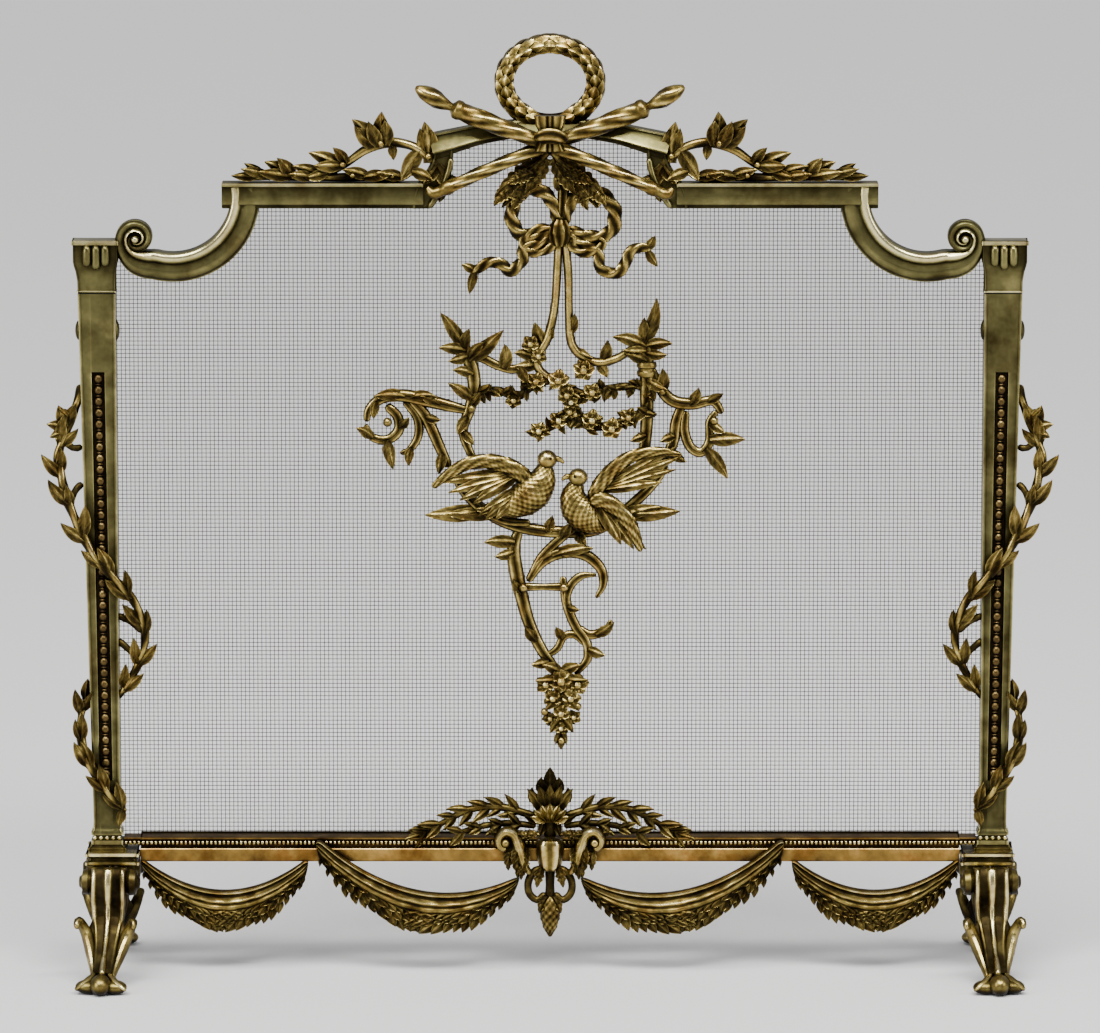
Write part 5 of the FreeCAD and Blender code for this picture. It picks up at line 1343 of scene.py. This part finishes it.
# Dove looking left, one wing raised and one hanging
def makeDoveRight():
    y = dove["y"]
    body = doveBody([(38, -284), (30, -278), (21, -269), (17, -259), (19, -249)],
                    [[0, 3], [0.16, 7.4], [0.36, 11.4], [0.58, 12.4], [0.78, 9.6], [0.92, 6.6],
                     [1, 5]], (20, y - 1, -245, 7, 6.4, 6.6),
                    [(15, -244), (10.8, -245), (8.4, -247.5)], (17.6, y - 6.8, -243.5, 1.1))
    high = [(30, -262), (36, -250), (46, -238), (60, -229), (78, -226), (94, -229)]
    low = [(28, -262), (38, -261), (49, -268), (58, -280), (65, -298)]
    return body + [
        wingEdge(high, [5.4, 5.8, 5.2, 4.4, 3.4, 2], y - 2.5),
        featherFan((36, -254), (32, 25, 18, 10), (64, 62, 56, 44), 8.6, y - 1, -4, 0.44),
        wingEdge(low, [5, 6, 5.8, 4.6, 2.2], y - 5, 0.55),
        featherFan((34, -263), (-40, -48, -57), (48, 42, 34), 11, y - 3, -8, 0.4)]


# Cradle: the long curved branch that the doves sit on
def makeCradle():
    line = hung([(-70, -240), (-62, -256), (-50, -268), (-34, -278), (-14, -284), (8, -286),
                 (30, -285), (46, -277), (60, -265), (74, -251), (84, -238)])
    rows = [(0.2, 188, 42, 13, 3, -8), (0.24, 170, 34, 10, 3, 12), (0.76, -2, 40, 13, 3, 8),
            (0.74, 20, 30, 10, 3, -12), (0.45, 60, 13, 8, 3, 20), (0.56, -50, 12, 8, 3, 0)]
    return [bar(line, [2.4, 3.8, 4.4, 4.6, 4.6, 4.6, 4.6, 4.4, 4.2, 3.6, 2.2], 0, flat=0.85,
                groove=0.3, step=2, tone=0.38),
            sprouts(line, rows, -1, thick=2.6, vein=0.4, rings=15)]


# Scrolls that taper down to the flowers
def makeTailScroll():
    lines = [([(-22, -284), (-26, -298), (-24, -316), (-20, -334), (-15, -352), (-7, -370),
               (4, -386), (12, -392)], [3.4, 5.2, 5.4, 5, 4.6, 4.4, 4, 3],
              [(0.08, 172, 22, 10, 3, 12), (0.14, 204, 14, 8, 2, -20), (0.4, 128, 12, 7, 2, -20),
               (0.7, 140, 13, 8, 2, -20), (0.85, 200, 13, 8, 2, -20)]),
             ([(-16, -322), (-6, -308), (8, -301), (24, -302), (36, -312), (38, -324), (33, -334)],
              [2.8, 4, 4.6, 4.6, 4.2, 3.4, 1.4], [(0.3, 24, 30, 10, 3, -22)]),
             ([(-14, -318), (-6, -304), (6, -292), (18, -283), (28, -278)],
              [2.4, 3.4, 3.6, 3.2, 2], [(0.6, 60, 14, 8, 3, 0)]),
             ([(-20, -326), (-4, -326), (11, -326)], [3.4, 2.6, 3.4], []),
             ([(9, -318), (12, -338), (18, -354), (26, -366), (27, -378), (18, -390)],
              [2.4, 3.6, 3.8, 3.6, 3.4, 2.2], [(0.72, -30, 13, 8, 2, 20), (0.28, -30, 9, 6, 2, 30)]),
             ([(18, -352), (12, -338), (14, -326), (22, -318), (33, -317)],
              [1.6, 2.8, 3.4, 3.2, 1.4], []),
             ([(19, -355), (29, -361), (40, -357), (44, -350)], [2.8, 3.6, 3.4, 1.6],
              [(0.5, 20, 16, 8, 2, 30)]),
             ([(-4, -377), (5, -371), (10, -362), (18, -361), (25, -368)],
              [2, 2.8, 3, 3, 2], [(0.5, 120, 10, 7, 2, 0)])]
    shells = scrolls(lines, (0, -0.5, -1.0), -1.5, 0.42, 0.35)
    return shells + [balls(hung([(10, -3, -326, 3.4), (-19, -4, -326, 3.2)]), tone=0.6)]


# Bunch of blossoms and leaves hanging at the foot of the trophy
def makeFlowerDrop():
    y = -4.0
    shells = rosettes(hung([(8, y - 4, -393, 9.5), (-3, y - 2, -396, 7.5), (20, y - 2, -396, 8),
                            (2, y - 3, -406, 7), (15, y - 3, -406, 7.5), (8, y - 3, -417, 7),
                            (17, y - 2, -420, 5.5), (0, y - 2, -421, 5.5), (8, y - 3, -428, 5.5)]))
    stem = hung([(8, -386), (9, -405), (8, -424), (8, -438)])
    rows = [(0.1, 196, 19, 9, 3, -20), (0.1, -14, 19, 9, 3, 20), (0.35, 214, 16, 8, 3, 10),
            (0.35, -36, 16, 8, 3, -10), (0.65, 228, 14, 7, 3, 10), (0.65, -46, 14, 7, 3, -10),
            (0.02, 146, 15, 9, 3, 20), (0.02, 34, 15, 9, 3, -20), (0.85, -114, 10, 6, 2, 0),
            (0.85, -66, 10, 6, 2, 0), (0.93, -90, 9, 6, 2, 0)]
    return shells + [bar(stem, [5, 4.6, 3.8, 2.4], y + 2, tone=0.2),
                     sprouts(stem, rows, y - 1, thick=2.4, vein=0.35, tone=0.38),
                     balls(hung([(-4, y - 3, -416, 2.8), (20, y - 3, -412, 2.8),
                                 (8, y - 3, -437, 3)]), tone=0.6)]


tailLeft, tailRight = makeTails()
addCast("bow", makeBow())
addCast("ribbon_tail_left", tailLeft)
addCast("ribbon_tail_right", tailRight)
addCast("trophy_straps", makeStraps())
addCast("trophy_scroll_left", makeTrophyLeft())
addCast("trophy_scroll_right", makeTrophyRight())
upper = makeGarland([(-50, -184), (-37, -183), (-24, -188), (-12, -180), (2, -176), (14, -182),
                     (26, -186), (42, -182), (60, -180), (71, -183)],
                    [(-10, -5, -176, 7), (6, -6, -175, 8), (12, -6, -186, 7), (24, -6, -168, 8),
                     (30, -5, -184, 7), (18, -4, -200, 6), (-26, -4, -190, 6)], 3, -2)
upper += makeGarland([(13, -184), (16, -190), (14, -197), (17, -205)],
                     [(15, -6, -191, 6), (14, -6, -198, 6)], 5, -3)
addCast("upper_garland", upper)
addCast("lower_garland", makeGarland(
    [(-8, -213), (4, -208), (16, -202), (28, -209), (44, -208), (60, -201), (71, -198)],
    [(-8, -5, -212, 7), (6, -6, -204, 7), (30, -6, -204, 8), (44, -6, -210, 8),
     (56, -5, -202, 7)], 8, -3))
addCast("dove_left", makeDoveLeft())
addCast("dove_right", makeDoveRight())
addCast("cradle_scroll", makeCradle())
addCast("tail_scroll", makeTailScroll())
addCast("flower_drop", makeFlowerDrop())
print("trophy made")


studio = {"aimHeight": 0.3322, "distance": 5.6, "downDegrees": 10.0, "lens": 256.2,
          "floorColour": "#eeecea", "sunPower": 2.9, "sunSpreadDegrees": 32.0,
          "keyPower": 90.0, "fillPower": 45.0, "world": 0.3}


# Pale matt floor, wide enough for every view
def makeStage():
    reach = 40.0
    corners = [(-reach, -reach, 0), (reach, -reach, 0), (reach, reach, 0), (-reach, reach, 0)]
    plane = bpy.data.meshes.new("studio_floor")
    plane.from_pydata(corners, [], [(0, 1, 2, 3)])
    floor = bpy.data.objects.new("studio_floor", plane)
    bpy.context.scene.collection.objects.link(floor)
    paint = bpy.data.materials.new("matPalePaint")
    paint.use_nodes = True
    shader = paint.node_tree.nodes["Principled BSDF"]
    shader.inputs["Base Color"].default_value = linear(studio["floorColour"])
    shader.inputs["Roughness"].default_value = 0.8
    plane.materials.append(paint)


# Lamp at a place, turned to look at its aim
def addLamp(name, kind, power, place, aim, size=(1.0, 1.0)):
    light = bpy.data.lights.new(name, kind)
    light.energy = power
    if kind == "AREA":
        light.shape, light.size, light.size_y = "RECTANGLE", *size
    else:
        light.angle = math.radians(studio["sunSpreadDegrees"])
    lamp = bpy.data.objects.new(name, light)
    lamp.location = place
    lamp.rotation_euler = (Vector(aim) - Vector(place)).to_track_quat("-Z", "Y").to_euler()
    bpy.context.scene.collection.objects.link(lamp)


makeStage()
addLamp("sunAbove", "SUN", studio["sunPower"], (-1.2, -2.4, 4.2), (0, 0, 0.3))
addLamp("keyAbove", "AREA", studio["keyPower"], (0.9, -1.9, 2.7), (0, 0, 0.4), (1.8, 0.7))
addLamp("fillLeft", "AREA", studio["fillPower"], (-2.6, -1.8, 1.1), (0, 0, 0.35), (0.9, 1.6))
addLamp("fillRight", "AREA", studio["fillPower"] * 0.6, (2.7, -1.5, 1.2), (0, 0, 0.35),
        (0.8, 1.5))
world = bpy.data.worlds.new("softWhiteRoom")
world.use_nodes = True
world.node_tree.nodes["Background"].inputs["Color"].default_value = (0.92, 0.94, 1.0, 1)
world.node_tree.nodes["Background"].inputs["Strength"].default_value = studio["world"]
bpy.context.scene.world = world

camera = bpy.data.objects.new("camera", bpy.data.cameras.new("camera"))
down = math.radians(studio["downDegrees"])
camera.location = (0, -studio["distance"] * math.cos(down),
                   studio["aimHeight"] + studio["distance"] * math.sin(down))
camera.rotation_euler = (math.pi / 2 - down, 0, 0)
camera.data.lens = studio["lens"]
camera.data.sensor_width = 36.0
camera.data.clip_end = 100.0
bpy.context.scene.collection.objects.link(camera)
bpy.context.scene.camera = camera
print("studio ready")
